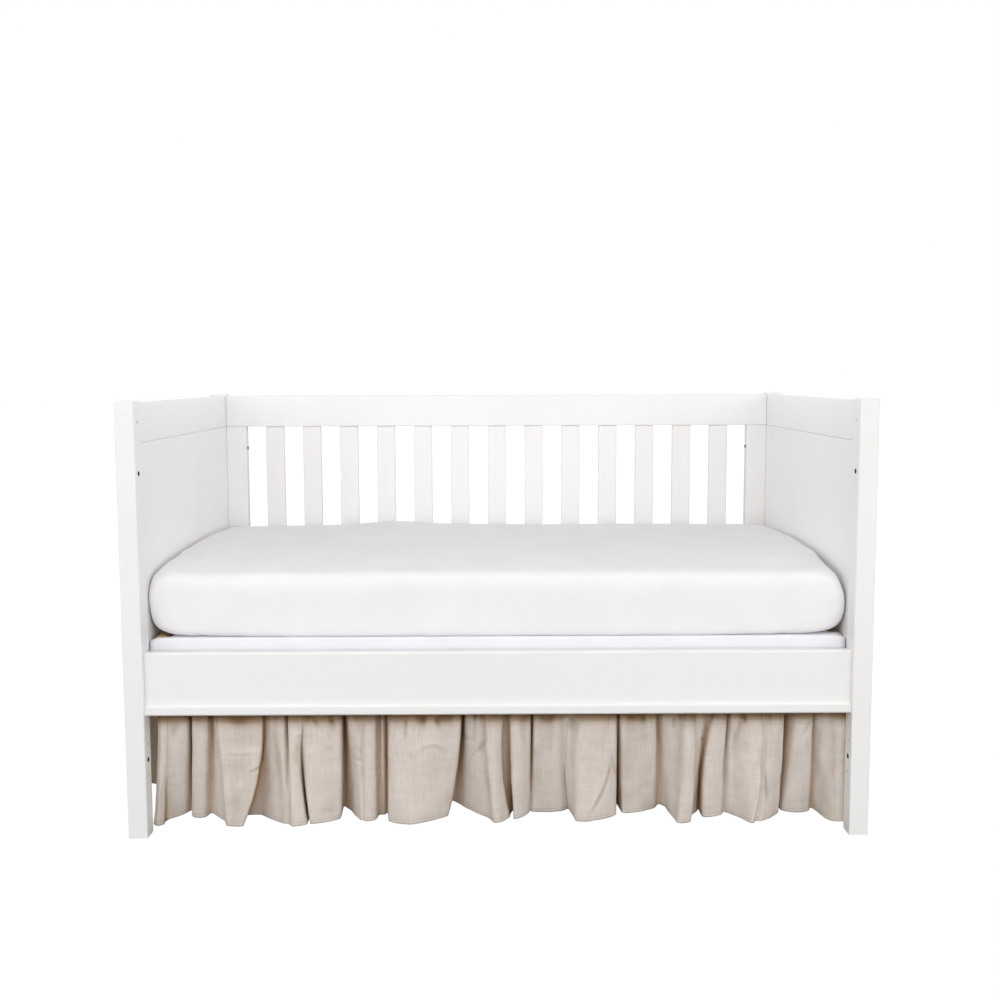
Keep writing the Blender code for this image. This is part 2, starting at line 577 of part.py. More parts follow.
def make_skirt(cotton, linen, parts):
    make_deck(cotton, parts)
    front_seam = (BASE_FRONT_Y - CLEAR - DECK_CLOTH / 2 + DEPTH / 2) / MM
    back_seam = (DEPTH / 2 - BASE_BACK_Y - CLEAR - DECK_CLOTH / 2) / MM
    end_seam = (LENGTH / 2 - BASE_HALF_LENGTH - CLEAR - DECK_CLOTH / 2) / MM
    make_ruffle("skirt_front", fold_lines(FRONT_FOLDS), front_seam, FRONT_LEVELS,
                lambda u, v, z: (u, v - DEPTH / 2, z), linen, parts)
    back_lines = side_lines(BACK_PLEATS, -BACK_HALF, BACK_HALF, BACK_TOP_DEPTH, BACK_VALLEY_TOP)
    make_ruffle("skirt_back", back_lines, back_seam, SIDE_LEVELS,
                lambda u, v, z: (-u, DEPTH / 2 - v, z), linen, parts)
    end_lines = END_LEAD_LINES + side_lines(END_PLEATS, *END_PLEATED, END_TOP_DEPTH, END_VALLEY_TOP)
    make_ruffle("skirt_left", end_lines, end_seam, SIDE_LEVELS,
                lambda u, v, z: (v - LENGTH / 2, u - DEPTH / 2, z), linen, parts, lift=corner_lift)
    make_ruffle("skirt_right", end_lines, end_seam, SIDE_LEVELS,
                lambda u, v, z: (LENGTH / 2 - v, u - DEPTH / 2, z), linen, parts)


def main():
    clear_scene()
    parts = new_collection("bed_skirt_on_cot_bed")
    cutters = new_collection("cutters")
    paint = new_material("white_paint", WHITE_PAINT, 0.35)
    linen = new_material("linen", LINEN, 0.95)
    cotton = new_material("cotton", COTTON, 0.9)
    timber = new_material("birch", BIRCH, 0.6)
    metal = new_material("steel", STEEL, 0.4, 1.0)
    make_posts(paint, parts, cutters)
    make_ends(paint, parts)
    make_back(paint, parts)
    make_front_rail(paint, parts)
    make_base(timber, metal, parts)
    make_mattress(cotton, parts)
    make_skirt(cotton, linen, parts)


main()
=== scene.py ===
import math

import bpy
import numpy as np
from mathutils import Matrix, Vector, noise


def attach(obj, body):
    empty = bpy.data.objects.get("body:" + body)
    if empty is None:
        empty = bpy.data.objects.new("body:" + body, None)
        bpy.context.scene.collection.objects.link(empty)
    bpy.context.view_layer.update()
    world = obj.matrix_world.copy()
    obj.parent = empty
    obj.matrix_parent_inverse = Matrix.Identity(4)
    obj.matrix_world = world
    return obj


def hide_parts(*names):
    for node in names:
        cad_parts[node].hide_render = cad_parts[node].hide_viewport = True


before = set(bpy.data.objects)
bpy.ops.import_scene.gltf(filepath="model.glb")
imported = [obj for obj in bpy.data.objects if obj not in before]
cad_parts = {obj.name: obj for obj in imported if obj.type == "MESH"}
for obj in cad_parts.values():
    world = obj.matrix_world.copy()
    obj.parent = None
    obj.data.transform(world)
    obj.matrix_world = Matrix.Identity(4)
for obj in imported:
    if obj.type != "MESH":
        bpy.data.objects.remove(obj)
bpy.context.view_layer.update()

halfLength, halfDepth = 0.75, 0.395    # from the bed's middle to the posts' outer faces
print("frame loaded:", len(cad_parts), "nodes")


def linear(hexColour):
    # sRGB hex to the linear colour a shader wants
    parts = [int(hexColour[i:i + 2], 16) / 255 for i in (1, 3, 5)]
    return [c / 12.92 if c <= 0.04045 else ((c + 0.055) / 1.055) ** 2.4 for c in parts] + [1.0]


def setNode(tree, node, settings):
    # the node's own options, then its inputs by name or number, where a node or an output is linked
    options = [key for key in settings if isinstance(key, str) and key not in node.inputs]
    for key in options:
        setattr(node, key, settings[key])
    for key in [key for key in settings if key not in options]:
        value = settings[key]
        if isinstance(value, bpy.types.Node):
            value = value.outputs[0]
        if isinstance(value, bpy.types.NodeSocket):
            tree.links.new(value, node.inputs[key])
        else:
            node.inputs[key].default_value = value


def addNode(tree, kind, settings={}, stops=()):
    # one node with its settings and links, and with a colour ramp's stops
    node = tree.nodes.new("ShaderNode" + kind)
    setNode(tree, node, settings)
    if stops:
        elements = node.color_ramp.elements
        while len(elements) < len(stops):
            elements.new(0.5)
        for element, (place, colour) in zip(elements, stops):
            element.position = place
            element.color = linear(colour)
    return node


def newMaterial(name, baseHex, roughness, settings={}):
    material = bpy.data.materials.new(name)
    material.use_nodes = True
    tree = material.node_tree
    shader = tree.nodes["Principled BSDF"]
    setNode(tree, shader, {"Base Color": linear(baseHex), "Roughness": roughness, **settings})
    return material, tree, shader


def activate(item):
    bpy.ops.object.select_all(action="DESELECT")
    item.select_set(True)
    bpy.context.view_layer.objects.active = item


def finishPiece(item, name, material, slotName, smoothAngle=None):
    # place in the mesh, one material, riding on the bed
    activate(item)
    bpy.ops.object.transform_apply(location=True, rotation=True, scale=True)
    if smoothAngle is not None:
        bpy.ops.object.shade_smooth_by_angle(angle=math.radians(smoothAngle))
    item.name = name
    item.data.name = name
    item.data.materials.clear()
    item.data.materials.append(material)
    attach(item, "root")


def makeSatinPaint():
    # water-based satin lacquer rolled on beech and MDF: soft wide highlights, a very fine orange peel,
    # and a hardly visible warm and cool drift over each board
    material, tree, shader = newMaterial("satinLacquer", "#F1F0EE", 0.36, {"IOR": 1.5})
    place = addNode(tree, "TexCoord").outputs["Object"]
    drift = addNode(tree, "TexNoise", {"Vector": place, "Scale": 3.0, "Detail": 2.0, "Roughness": 0.45})
    colour = addNode(tree, "ValToRGB", {"Fac": drift}, [(0.3, "#F2F0EE"), (0.5, "#F3F2F1"), (0.7, "#F1F2F2")])
    # roller stipple, about 1.5 mm, drawn at 2.5 mm so that it shows
    peel = addNode(tree, "TexNoise", {"Vector": place, "Scale": 400.0, "Detail": 2.0, "Roughness": 0.5})
    # timber grain telegraphing through the paint, stretched along the bed
    stretched = addNode(tree, "Mapping", {"Vector": place, "Scale": (3.0, 90.0, 90.0)})
    grain = addNode(tree, "TexNoise", {"Vector": stretched, "Scale": 1.0, "Detail": 3.0, "Roughness": 0.55})
    height = addNode(tree, "Math", {"operation": "MULTIPLY_ADD", 0: peel, 1: 0.35, 2: grain})
    bump = addNode(tree, "Bump", {"Height": height, "Strength": 0.18, "Distance": 0.0004})
    wear = addNode(tree, "Math", {"operation": "MULTIPLY_ADD", 0: peel, 1: 0.10, 2: 0.37})
    setNode(tree, shader, {"Base Color": colour, "Roughness": wear, "Normal": bump})
    return material


def makeBirch():
    # planed and oiled birch slats: pale yellow-brown, long straight grain a few millimetres wide
    material, tree, shader = newMaterial("planedBirch", "#CFA873", 0.55, {"IOR": 1.5})
    place = addNode(tree, "TexCoord").outputs["Object"]
    stretched = addNode(tree, "Mapping", {"Vector": place, "Scale": (4.0, 170.0, 170.0)})
    grain = addNode(tree, "TexNoise", {"Vector": stretched, "Scale": 1.0, "Detail": 5.0, "Roughness": 0.6,
                                       "Distortion": 0.4})
    colour = addNode(tree, "ValToRGB", {"Fac": grain}, [(0.25, "#B98A55"), (0.5, "#D2AC7A"), (0.8, "#E3C79E")])
    bump = addNode(tree, "Bump", {"Height": grain, "Strength": 0.3, "Distance": 0.0004})
    setNode(tree, shader, {"Base Color": colour, "Normal": bump})
    return material


def makeSpeckled(name, baseHex, roughness, settings, scale, detail, stops, strength, dull=None):
    # a finish with one even, very fine mottle. dull is its share in the roughness, and the least roughness
    material, tree, shader = newMaterial(name, baseHex, roughness, settings)
    place = addNode(tree, "TexCoord").outputs["Object"]
    mottle = addNode(tree, "TexNoise", {"Vector": place, "Scale": scale, "Detail": detail})
    colour = addNode(tree, "ValToRGB", {"Fac": mottle}, stops)
    bump = addNode(tree, "Bump", {"Height": mottle, "Strength": strength, "Distance": 0.0002})
    setNode(tree, shader, {"Base Color": colour, "Normal": bump})
    if dull:
        dulled = addNode(tree, "Math", {"operation": "MULTIPLY_ADD", 0: mottle, 1: dull[0], 2: dull[1]})
        setNode(tree, shader, {"Roughness": dulled})
    return material


def wovenHeight(tree, clothPlace, threadMm):
    # a plain weave's over and under, one thread every threadMm
    split = addNode(tree, "SeparateXYZ", {"Vector": clothPlace})
    waves, perMetre = [], math.pi / (threadMm * 0.001)
    for axis in ("X", "Y"):
        turns = addNode(tree, "Math", {"operation": "MULTIPLY", 0: split.outputs[axis], 1: perMetre})
        waves.append(addNode(tree, "Math", {"operation": "SINE", 0: turns}))
    return addNode(tree, "Math", {"operation": "MULTIPLY", 0: waves[0], 1: waves[1]}), split


flax = {
    "threadMm": 1.6,           # really 0.8 mm, drawn coarser so that it shows
    "stitchHeight": 0.008,     # of the hem's stitches, above its edge
    "stitchPitch": 0.004,
    "stitchShare": 0.7,
    "stitchHalfWidth": 0.0006,
    "stitchHex": "#BFB3A4",
    # repeats a metre along and up the cloth, shift, share: yarn slubs 45 mm long, really 1 mm wide and drawn
    # 2.4 mm wide so that they show, bands of darker weft 9 to 15 mm apart, and the wash's soft blotches
    "yarns": [(24.0, 420.0, 0.0, 0.27), (420.0, 22.0, 7.3, 0.34), (5.0, 110.0, 3.1, 0.12),
              (14.0, 14.0, 5.7, 0.27)],
    "tones": [(0.36, "#D1C6BC"), (0.46, "#D9CEC5"), (0.54, "#DDD3CB"), (0.64, "#E3DAD2")],
    # painted shade that the linen's colour is multiplied by: greyer in a gather's trough, and brown where
    # light reaches the eye only after several bounces off flax, shut in between two folds or close under the
    # rail
    "shades": {"creaseShade": [(0.0, "#FFFFFF"), (1.0, "#E3DFD9")],
               "paintedFoldShade": [(0.0, "#FFFFFF"), (0.45, "#F0E7DC"), (0.75, "#D6C3A6"), (1.0, "#BE9560")],
               "railShade": [(0.0, "#FFFFFF"), (0.21, "#FDFCFB"), (0.50, "#ECE6DE"), (0.62, "#D3C7B8"),
                             (0.74, "#B9A68E"), (0.91, "#9A8264"), (1.0, "#8A7050")]},
}


def makeLinen(name, glow):
    # undyed linen in a plain weave: warm grey-beige, thick and thin yarns that run as short streaks both
    # ways, dry and matt with a faint fuzz. glow is how much of the light behind it comes through, warmed by
    # the flax. The UV map is in metres of cloth, Y up from the hem.
    material, tree, shader = newMaterial(name, "#CFC6BC", 0.92, {
        "IOR": 1.46, "Sheen Weight": 0.08, "Sheen Roughness": 0.5, "Specular IOR Level": 0.2,
        "Subsurface Weight": glow, "Subsurface Radius": (1.0, 0.7, 0.5), "Subsurface Scale": 0.0035})
    place = addNode(tree, "TexCoord").outputs["UV"]
    yarn = None
    for along, up, shift, share in flax["yarns"]:
        shifted = {"Scale": (along, up, 1.0), "Location": (shift, shift, 0.0)}
        stretched = addNode(tree, "Mapping", {"Vector": place, **shifted})
        layer = addNode(tree, "TexNoise", {"noise_dimensions": "2D", "Vector": stretched, "Scale": 1.0,
                                           "Detail": 2.0, "Roughness": 0.6})
        weighed = addNode(tree, "Math", {"operation": "MULTIPLY", 0: layer, 1: share})
        yarn = weighed if yarn is None else addNode(tree, "Math", {"operation": "ADD", 0: yarn, 1: weighed})
    colour = addNode(tree, "ValToRGB", {"Fac": yarn}, flax["tones"]).outputs[0]
    # painted shade: each share read from the cloth darkens the linen's colour through its ramp
    for share, stops in flax["shades"].items():
        amount = addNode(tree, "Attribute", {"attribute_name": share}).outputs["Fac"]
        tint = addNode(tree, "ValToRGB", {"Fac": amount}, stops)
        colour = addNode(tree, "Mix", {"data_type": "RGBA", "blend_type": "MULTIPLY", 0: 1.0, 6: colour,
                                       7: tint}).outputs[2]
    weave, split = wovenHeight(tree, place, flax["threadMm"])
    # the hem's row of stitches
    onLine = addNode(tree, "Math", {"operation": "COMPARE", 0: split.outputs["Y"], 1: flax["stitchHeight"],
                                    2: flax["stitchHalfWidth"]})
    count = addNode(tree, "Math", {"operation": "MULTIPLY", 0: split.outputs["X"], 1: 1 / flax["stitchPitch"]})
    within = addNode(tree, "Math", {"operation": "FRACT", 0: count})
    inStitch = addNode(tree, "Math", {"operation": "LESS_THAN", 0: within, 1: flax["stitchShare"]})
    stitch = addNode(tree, "Math", {"operation": "MULTIPLY", 0: onLine, 1: inStitch})
    stitched = addNode(tree, "Mix", {"data_type": "RGBA", 0: stitch, 6: colour, 7: linear(flax["stitchHex"])})
    slubs = addNode(tree, "Math", {"operation": "MULTIPLY", 0: yarn, 1: 1.2})
    height = addNode(tree, "Math", {"operation": "MULTIPLY_ADD", 0: weave, 1: 0.2, 2: slubs})
    bump = addNode(tree, "Bump", {"Height": height, "Strength": 0.4, "Distance": 0.0005})
    setNode(tree, shader, {"Base Color": stitched.outputs[2], "Normal": bump})
    return material


def makeCotton(name, lightHex, darkHex, threadMm, roughness):
    # bleached cotton percale: a clean cool white, close flat weave, no gloss. Its threads are really about
    # 0.3 mm apart, and threadMm draws them coarser so that they show.
    settings = {"IOR": 1.46, "Sheen Weight": 0.08, "Specular IOR Level": 0.2}
    material, tree, shader = newMaterial(name, lightHex, roughness, settings)
    place = addNode(tree, "TexCoord").outputs["UV"]
    flat = {"noise_dimensions": "2D", "Vector": place}
    cloud = addNode(tree, "TexNoise", {**flat, "Scale": 9.0, "Detail": 3.0})
    colour = addNode(tree, "ValToRGB", {"Fac": cloud}, [(0.3, darkHex), (0.7, lightHex)])
    weave, _ = wovenHeight(tree, place, threadMm)
    fuzz = addNode(tree, "TexNoise", {**flat, "Scale": 350.0, "Detail": 2.0})
    height = addNode(tree, "Math", {"operation": "MULTIPLY_ADD", 0: weave, 1: 0.3, 2: fuzz})
    bump = addNode(tree, "Bump", {"Height": height, "Strength": 0.25, "Distance": 0.0004})
    setNode(tree, shader, {"Base Color": colour, "Normal": bump})
    return material


satinLacquer = makeSatinPaint()
planedBirch = makeBirch()
# bright zinc plate on pressed steel: grey, a little cloudy, unevenly dull
zincSteel = makeSpeckled("zincPlatedSteel", "#A9ABAD", 0.36, {"Metallic": 1.0}, 90.0, 3.0,
                         [(0.3, "#96989B"), (0.7, "#B9BBBC")], 0.2, (0.25, 0.25))
# the black oxide coat of a socket bolt: dull, nearly black, slightly mottled, no bare metal showing
boltSteel = makeSpeckled("blackOxideSteel", "#1C1C1E", 0.8, {"IOR": 1.5, "Specular IOR Level": 0.15},
                         600.0, 2.0, [(0.3, "#161618"), (0.7, "#2A2A2D")], 0.2)
# injection-moulded nylon of a cover cap: pale grey-green, even, with a soft gloss and a trace of flow marks
plugNylon = makeSpeckled("palePlugNylon", "#C3C8C3", 0.4, {"IOR": 1.53}, 500.0, 2.0,
                         [(0.3, "#BBC1BC"), (0.7, "#CBCFCA")], 0.1)
naturalLinen = makeLinen("naturalLinen", 0.0)
litLinen = makeLinen("naturalLinenLit", 0.4)
sheetCotton = makeCotton("sheetPercale", "#F4F3F6", "#F1EFF2", 0.9, 0.85)
deckCotton = makeCotton("deckCotton", "#F0EFF3", "#ECEBEF", 1.2, 0.9)

for name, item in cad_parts.items():
    if name.startswith(("post", "end", "back", "front_rail")):
        material = satinLacquer
    elif name.startswith("base_bracket"):
        material = zincSteel
    elif name.startswith("base"):
        material = planedBirch
    else:
        continue
    for slot in item.material_slots:
        slot.material = material
print("materials ready")

# the cot's bolts and cover caps: across and along are the head's middle from the bed's middle
fittings = {
    "postBolt": {"radius": 0.0052, "thickness": 0.0006, "socket": 0.0003, "across": 0.7106, "along": -0.3755,
                 "heights": (0.158, 0.740), "look": (boltSteel, "steel")},
    "postCap": {"radius": 0.0030, "thickness": 0.0006, "socket": 0.0003, "across": 0.7106, "along": -0.3755,
                "heights": (0.126, 0.190, 0.842), "look": (plugNylon, "white_paint")},
    "stileBolt": {"radius": 0.0040, "thickness": 0.002, "socket": 0.0012, "across": 0.6576, "along": 0.3635,
                  "heights": (0.743,), "look": (boltSteel, "steel")},
}


def chooseParts(mesh, kind, wanted):
    # picks edges or faces in code and stays in edit mode
    bpy.ops.object.mode_set(mode="EDIT")
    bpy.ops.mesh.select_mode(type=kind)
    bpy.ops.mesh.select_all(action="DESELECT")
    bpy.ops.object.mode_set(mode="OBJECT")
    for part in (mesh.polygons if kind == "FACE" else mesh.edges):
        part.select = wanted(part)
    bpy.ops.object.mode_set(mode="EDIT")


def makeHead(radius, thickness, socket):
    # a round head with an eased rim and a socket or dimple
    bpy.ops.object.select_all(action="DESELECT")
    bpy.ops.mesh.primitive_cylinder_add(vertices=24, radius=radius, depth=thickness)
    head = bpy.context.object
    mesh = head.data
    chooseParts(mesh, "EDGE", lambda edge: all(mesh.vertices[v].co.z > 0 for v in edge.vertices))
    bpy.ops.mesh.bevel(offset=radius * 0.16, segments=2)
    chooseParts(mesh, "FACE", lambda face: face.normal.z > 0.99 and face.center.z > thickness * 0.49)
    bpy.ops.mesh.inset(thickness=radius * 0.30)
    bpy.ops.mesh.extrude_region_move(TRANSFORM_OT_translate={"value": (0, 0, -socket)})
    bpy.ops.object.mode_set(mode="OBJECT")
    return head


heads = {kind: makeHead(row["radius"], row["thickness"], row["socket"]) for kind, row in fittings.items()}
for side, sideName in ((-1, "Left"), (1, "Right")):
    for kind, row in fittings.items():
        for number, height in enumerate(row["heights"]):
            # a copy with its own mesh, its face turned to the bed's middle
            activate(heads[kind])
            bpy.ops.object.duplicate()
            copy = bpy.context.object
            copy.rotation_euler = (0, math.radians(-90 * side), 0)
            copy.location = (side * row["across"], row["along"], height)
            ending = str(number + 1) if len(row["heights"]) > 1 else ""
            finishPiece(copy, kind + sideName + ending, *row["look"], smoothAngle=40)
for head in heads.values():
    bpy.data.objects.remove(head)
print("fittings ready")

ruffle = {
    # in metres
    "seamHeight": 0.3495,
    "length": 0.338,
    "panelBottom": 0.2445,     # the cloth stays inside the end panels down to here
    "thickness": 0.0008,
    "railShadow": 0.2390,      # the painted shadow is full under the rail down to here, gone after the reach
    "railReach": 0.034,
    "puckerRise": 0.00022,
    "puckerPitch": 0.0085,
    "puckerDrift": 2.5,        # radians, so that they are unevenly spaced
    "puckerHeight": 0.021,     # above the hem
    "puckerReach": 0.008,
    "stitchSink": 0.0002,
    "stitchReach": 0.0022,
    "besideRise": 0.0005,      # the most that relief may rise beside the end panels
    "creaseRunOut": 0.008,
    # how far the gathers rise: distance below the seam, share
    "gatherFade": ((0, 0.8), (0.095, 1), (0.125, 0.7), (0.165, 0.32), (0.22, 0.12), (0.338, 0)),
    # rise, then layers of noise: repeats a metre along and down the cloth, shift, share
    "noises": {"gathers": (0.0044, (42.0, 2.0, 0.0, 1), (85.0, 3.0, 3.1, 0.5)),
               "waves": (0.0026, (15.0, 2.6, 7.7, 1), (34.0, 5.0, 9.2, 0.45)),
               "crumple": (0.0011, (34.0, 21.0, 13.3, 1), (75.0, 48.0, 17.9, 0.5))},
    # in millimetres
    "edgeRadius": 6,
    "softRadius": 26,
    "topCrown": 1.5,
    "leftBehind": 3,
    "rightBehind": 2,
    "fineWidth": 5.5,          # creases narrower than this count as fine
    # shares and factors
    "hiddenShare": 0.30,       # of the drop, behind the rail
    "seamGather": 0.20,
    "cornerReach": 0.45,
    "wallShare": 0.35,         # of the relief, on walls that don't face the room
    "fineGain": 2.0,           # on the rise of fine creases
    "broadGain": 1.15,         # and of broad ones
}

# the front ruffle, a row for each fold from left to right, in millimetres across the bed from its middle
# and behind the posts' front: leftTop leftHem rightTop rightHem valleyXTop valleyXHem topDepth leftDepth
# rightDepth valleyTop valleyHem leftBow rightBow crown
frontFolds = [
    (-697, -714, -678, -688, -674, -692, 43, 46, 41, 45, 57, 3, 0, 14),
    (-669, -686, -638, -660, -634, -650, 42, 70, 94, 88, 108, 0, 2, 3),
    (-627, -643, -596, -614, -590, -606, 46, 80, 76, 74, 97, 0, 0, 6),
    (-584, -590, -582, -568, 0, 0, 50, 82, 60, 0, 0, 0, 0, 0),
    (-579, -560, -484, -524, -486, -530, 41, 34, 29, 66, 86, 1, 14, 5),
    (-474, -500, -439, -446, -435, -434, 52, 88, 44, 74, 43, 0, 2, 0),
    (-431, -422, -403, -396, -399, -396, 44, 27, 38, 47, 88, -2, -10, 1),
    (-395, -389, -324, -330, -323, -330, 43, 41, 66, 98, 120, -5, 1, 5),
    (-311, -314, -284, -286, -280, -281, 49, 105, 60, 55, 62, 4, 0, 0),
    (-276, -278, -253, -255, -250, -252, 45, 56, 61, 74, 84, 0, 0, 4),
    (-243, -246, -237, -239, -231, -234, 58, 84, 84, 80, 94, 0, 0, 0),
    (-224, -228, -190, -184, 0, 0, 42, 54, 37, 0, 0, 0, -2, 4),
    (-180, -176, -77, -107, -74, -100, 44, 38, 79, 96, 138, -2, 5, 6),
    (-68, -78, -32, -19, 0, 0, 58, 120, 66, 0, 0, 3, -4, 0),
    (-26, -8, 10, 23, 0, 0, 41, 41, 70, 0, 0, -5, -11, 10),
    (11, 24, 22, 31, 0, 0, 70, 84, 104, 0, 0, -12, 0, 0),
    (27, 32, 67, 63, 70, 67, 45, 60, 88, 78, 99, 0, 0, 5),
    (74, 71, 129, 137, 138, 147, 44, 92, 98, 60, 106, 0, -8, 5),
    (146, 150, 152, 156, 0, 0, 60, 103, 82, 0, 0, -8, -6, 0),
    (166, 160, 202, 190, 0, 0, 46, 50, 49, 0, 0, -3, -6, 4),
    (208, 198, 241, 246, 246, 252, 43, 53, 78, 66, 126, -4, 0, 4),
    (253, 260, 322, 330, 328, 341, 44, 85, 105, 86, 122, 0, 1, 5),
    (341, 354, 366, 362, 0, 0, 58, 112, 84, 0, 0, 0, 3, 0),
    (378, 370, 402, 397, 407, 402, 42, 37, 42, 58, 70, 6, 4, 3),
    (414, 407, 432, 418, 440, 423, 58, 78, 92, 70, 104, 2, -5, 0),
    (446, 426, 471, 468, 474, 474, 46, 66, 78, 76, 91, -9, -3, 5),
    (481, 482, 492, 494, 0, 0, 56, 84, 76, 0, 0, -3, -4, 0),
    (503, 504, 539, 522, 545, 532, 44, 64, 31, 58, 48, -4, 9, 3),
    (552, 541, 587, 588, 599, 592, 46, 44, 84, 96, 112, 6, 1, 5),
    (612, 598, 645, 654, 651, 662, 46, 92, 90, 78, 107, 4, 0, 8),
    (660, 668, 682, 678, 0, 0, 58, 96, 60, 0, 0, 0, 0, 0),
    (692, 686, 715, 714, 0, 0, 44, 43, 42, 0, 0, 1, 0, 2),
]

# plain folds of the sides that stand out of sight: width, crest depth, valley depth
endPleats = [(86, 22, 62), (70, 30, 78), (94, 26, 70), (64, 34, 60), (82, 24, 84), (76, 30, 66), (90, 22, 60)]
backPleats = [
    (96, 24, 74), (82, 32, 92), (112, 26, 84), (74, 34, 70), (104, 28, 96), (88, 24, 78), (92, 30, 88),
    (108, 26, 76), (80, 34, 94), (98, 24, 82), (86, 30, 72), (102, 26, 90), (90, 32, 80), (94, 24, 86),
]
# an end ruffle's front edge: xTop xHem depthTop depthHem bow radius, then whether it faces out
endLead = [
    (42.5, 60, 32, 24, 0, 9, 1), (74, 86, 30, 22, 0, 26, 1), (100, 106, 46, 34, 0, 9, 1),
    (113, 116, 66, 64, 0, 9, 0),
]

pleat = {
    # shares of a fold's width
    "rightEdge": 0.70,
    "valleyPlace": 0.85,
    # in millimetres: how far its edges and its middle stand from the crest's line, and the corners' radii
    "leftSet": 8,
    "rightSet": 4,
    "crown": 4,
    "edgeRadius": 9,
    "softRadius": 26,
}


def foldLines(folds, edge, soft):
    # the upright lines of each fold: (xTop, xHem, depthTop, depthHem, bow, radius, facing)
    lines = []
    for (leftTop, leftHem, rightTop, rightHem, valleyXTop, valleyXHem, topDepth, leftDepth, rightDepth,
         valleyTop, valleyHem, leftBow, rightBow, crown) in folds:
        middleTop, middleHem = (leftTop + rightTop) / 2, (leftHem + rightHem) / 2
        swell = (leftDepth + rightDepth) / 2 - crown
        lines.append((leftTop, leftHem, topDepth + ruffle["leftBehind"], leftDepth, leftBow, edge, 1))
        lines.append((middleTop, middleHem, topDepth - ruffle["topCrown"], swell, (leftBow + rightBow) / 2,
                      soft, 1))
        lines.append((rightTop, rightHem, topDepth + ruffle["rightBehind"], rightDepth, rightBow, edge, 1))
        if valleyHem:
            lines.append((valleyXTop, valleyXHem, valleyTop, valleyHem, rightBow, edge, 0))
    return lines


def pleatLines(pleats, start, end, topDepth, valleyTop):
    scale = (end - start) / sum(width for width, _, _ in pleats)
    folds, left = [], start
    for number, (width, crest, valley) in enumerate(pleats):
        right = left + width * scale * pleat["rightEdge"]
        behind = left + width * scale * pleat["valleyPlace"]
        # the last fold ends at the post, with no valley after it
        valleyHem = valley if number < len(pleats) - 1 else 0
        folds.append((left, left, right, right, behind, behind, topDepth, crest + pleat["leftSet"],
                      crest + pleat["rightSet"], valleyTop, valleyHem, 0, 0, pleat["crown"]))
        left += width * scale
    return foldLines(folds, pleat["edgeRadius"], pleat["softRadius"])


def linePlace(line, drop, seamDepth):
    # where a fold's line stands at a share of the drop: across and depth, millimetres
    xTop, xHem, depthTop, depthHem, bow = line[:5]
    hidden = ruffle["hiddenShare"]
    if drop <= hidden:
        gathered = ruffle["seamGather"] + (1 - ruffle["seamGather"]) * drop / hidden
        return xTop, seamDepth + (depthTop - seamDepth) * gathered
    share = (drop - hidden) / (1 - hidden)
    return (xTop + (xHem - xTop) * share + bow * 4 * share * (1 - share),
            depthTop + (depthHem - depthTop) * share)


def clothPaths(lines, drops, seamDepth, spacing):
    # plan paths for every drop, all with the same columns, and how far each column faces the room. spacing is
    # the widest step in millimetres on what faces the room and on the walls between
    corners = np.array([[linePlace(line, drop, seamDepth) for line in lines] for drop in drops])
    columns, facing = [corners[:, 0]], [1.0]

    def run(start, corner, end, seen):
        # a parabola from start to end, or a straight run where the corner is its middle
        length = (np.linalg.norm(corner - start, axis=1) + np.linalg.norm(end - corner, axis=1)).max()
        steps = max(1, math.ceil(length / spacing[0 if seen else 1]))
        for step in range(1, steps + 1):
            t = step / steps
            columns.append(start * (1 - t) ** 2 + corner * 2 * t * (1 - t) + end * t ** 2)
            facing.append(float(seen))

    previous = corners[:, 0]
    for number in range(1, len(lines) - 1):
        corner = corners[:, number]
        into, out = corners[:, number - 1] - corner, corners[:, number + 1] - corner
        intoLength = np.linalg.norm(into, axis=1, keepdims=True)
        outLength = np.linalg.norm(out, axis=1, keepdims=True)
        # short folds are rounded less, so that neighbouring corners never meet
        reach = ruffle["cornerReach"]
        start = corner + into / intoLength * np.minimum(lines[number][5], reach * intoLength)
        end = corner + out / outLength * np.minimum(lines[number][5], reach * outLength)
        run(previous, (previous + start) / 2, start, min(lines[number - 1][6], lines[number][6]))
        run(start, corner, end, lines[number][6])
        previous = end
    last = corners[:, -1]
    run(previous, (previous + last) / 2, last, 1)
    facing = np.array(facing)
    for _ in range(6):
        facing[1:-1] = (facing[:-2] + 2 * facing[1:-1] + facing[2:]) / 4
    return np.stack(columns, axis=1), facing


def alongLine(points):
    # the distance along a line from its first point to each point
    return np.concatenate([[0], np.cumsum(np.linalg.norm(np.diff(points, axis=0), axis=1))])


def surfaceNormals(places, outward):
    along = np.gradient(places, axis=1)
    down = np.gradient(places, axis=0)
    normals = np.cross(down, along) * outward
    return normals / np.maximum(np.linalg.norm(normals, axis=2, keepdims=True), 1e-9)


def layers(us, vs, rows, seed=0.0):
    # noise in layers: repeats a metre across and down, shift, share
    field = 0.0
    for across, down, shift, share in rows:
        field = field + share * np.array([[noise.noise(Vector((u * across, v * down, seed + shift)))
                                           for u in us] for v in vs])
    return field


def layGrid(places):
    # a grid primitive laid point by point onto places, and the row and column of each face's corners
    rows, columns = places.shape[:2]
    bpy.ops.object.select_all(action="DESELECT")
    bpy.ops.mesh.primitive_grid_add(x_subdivisions=columns - 1, y_subdivisions=rows - 1, size=2)
    item = bpy.context.object
    item.data.vertices.foreach_set("co", places.reshape(-1))
    corners = np.empty(len(item.data.loops), np.int32)
    item.data.loops.foreach_get("vertex_index", corners)
    return item, corners // columns, corners % columns


def layUv(mesh, uvs):
    # the UV map, a place for each face corner
    mesh.uv_layers[0].data.foreach_set("uv", uvs.reshape(-1).astype(np.float32))
    mesh.update()


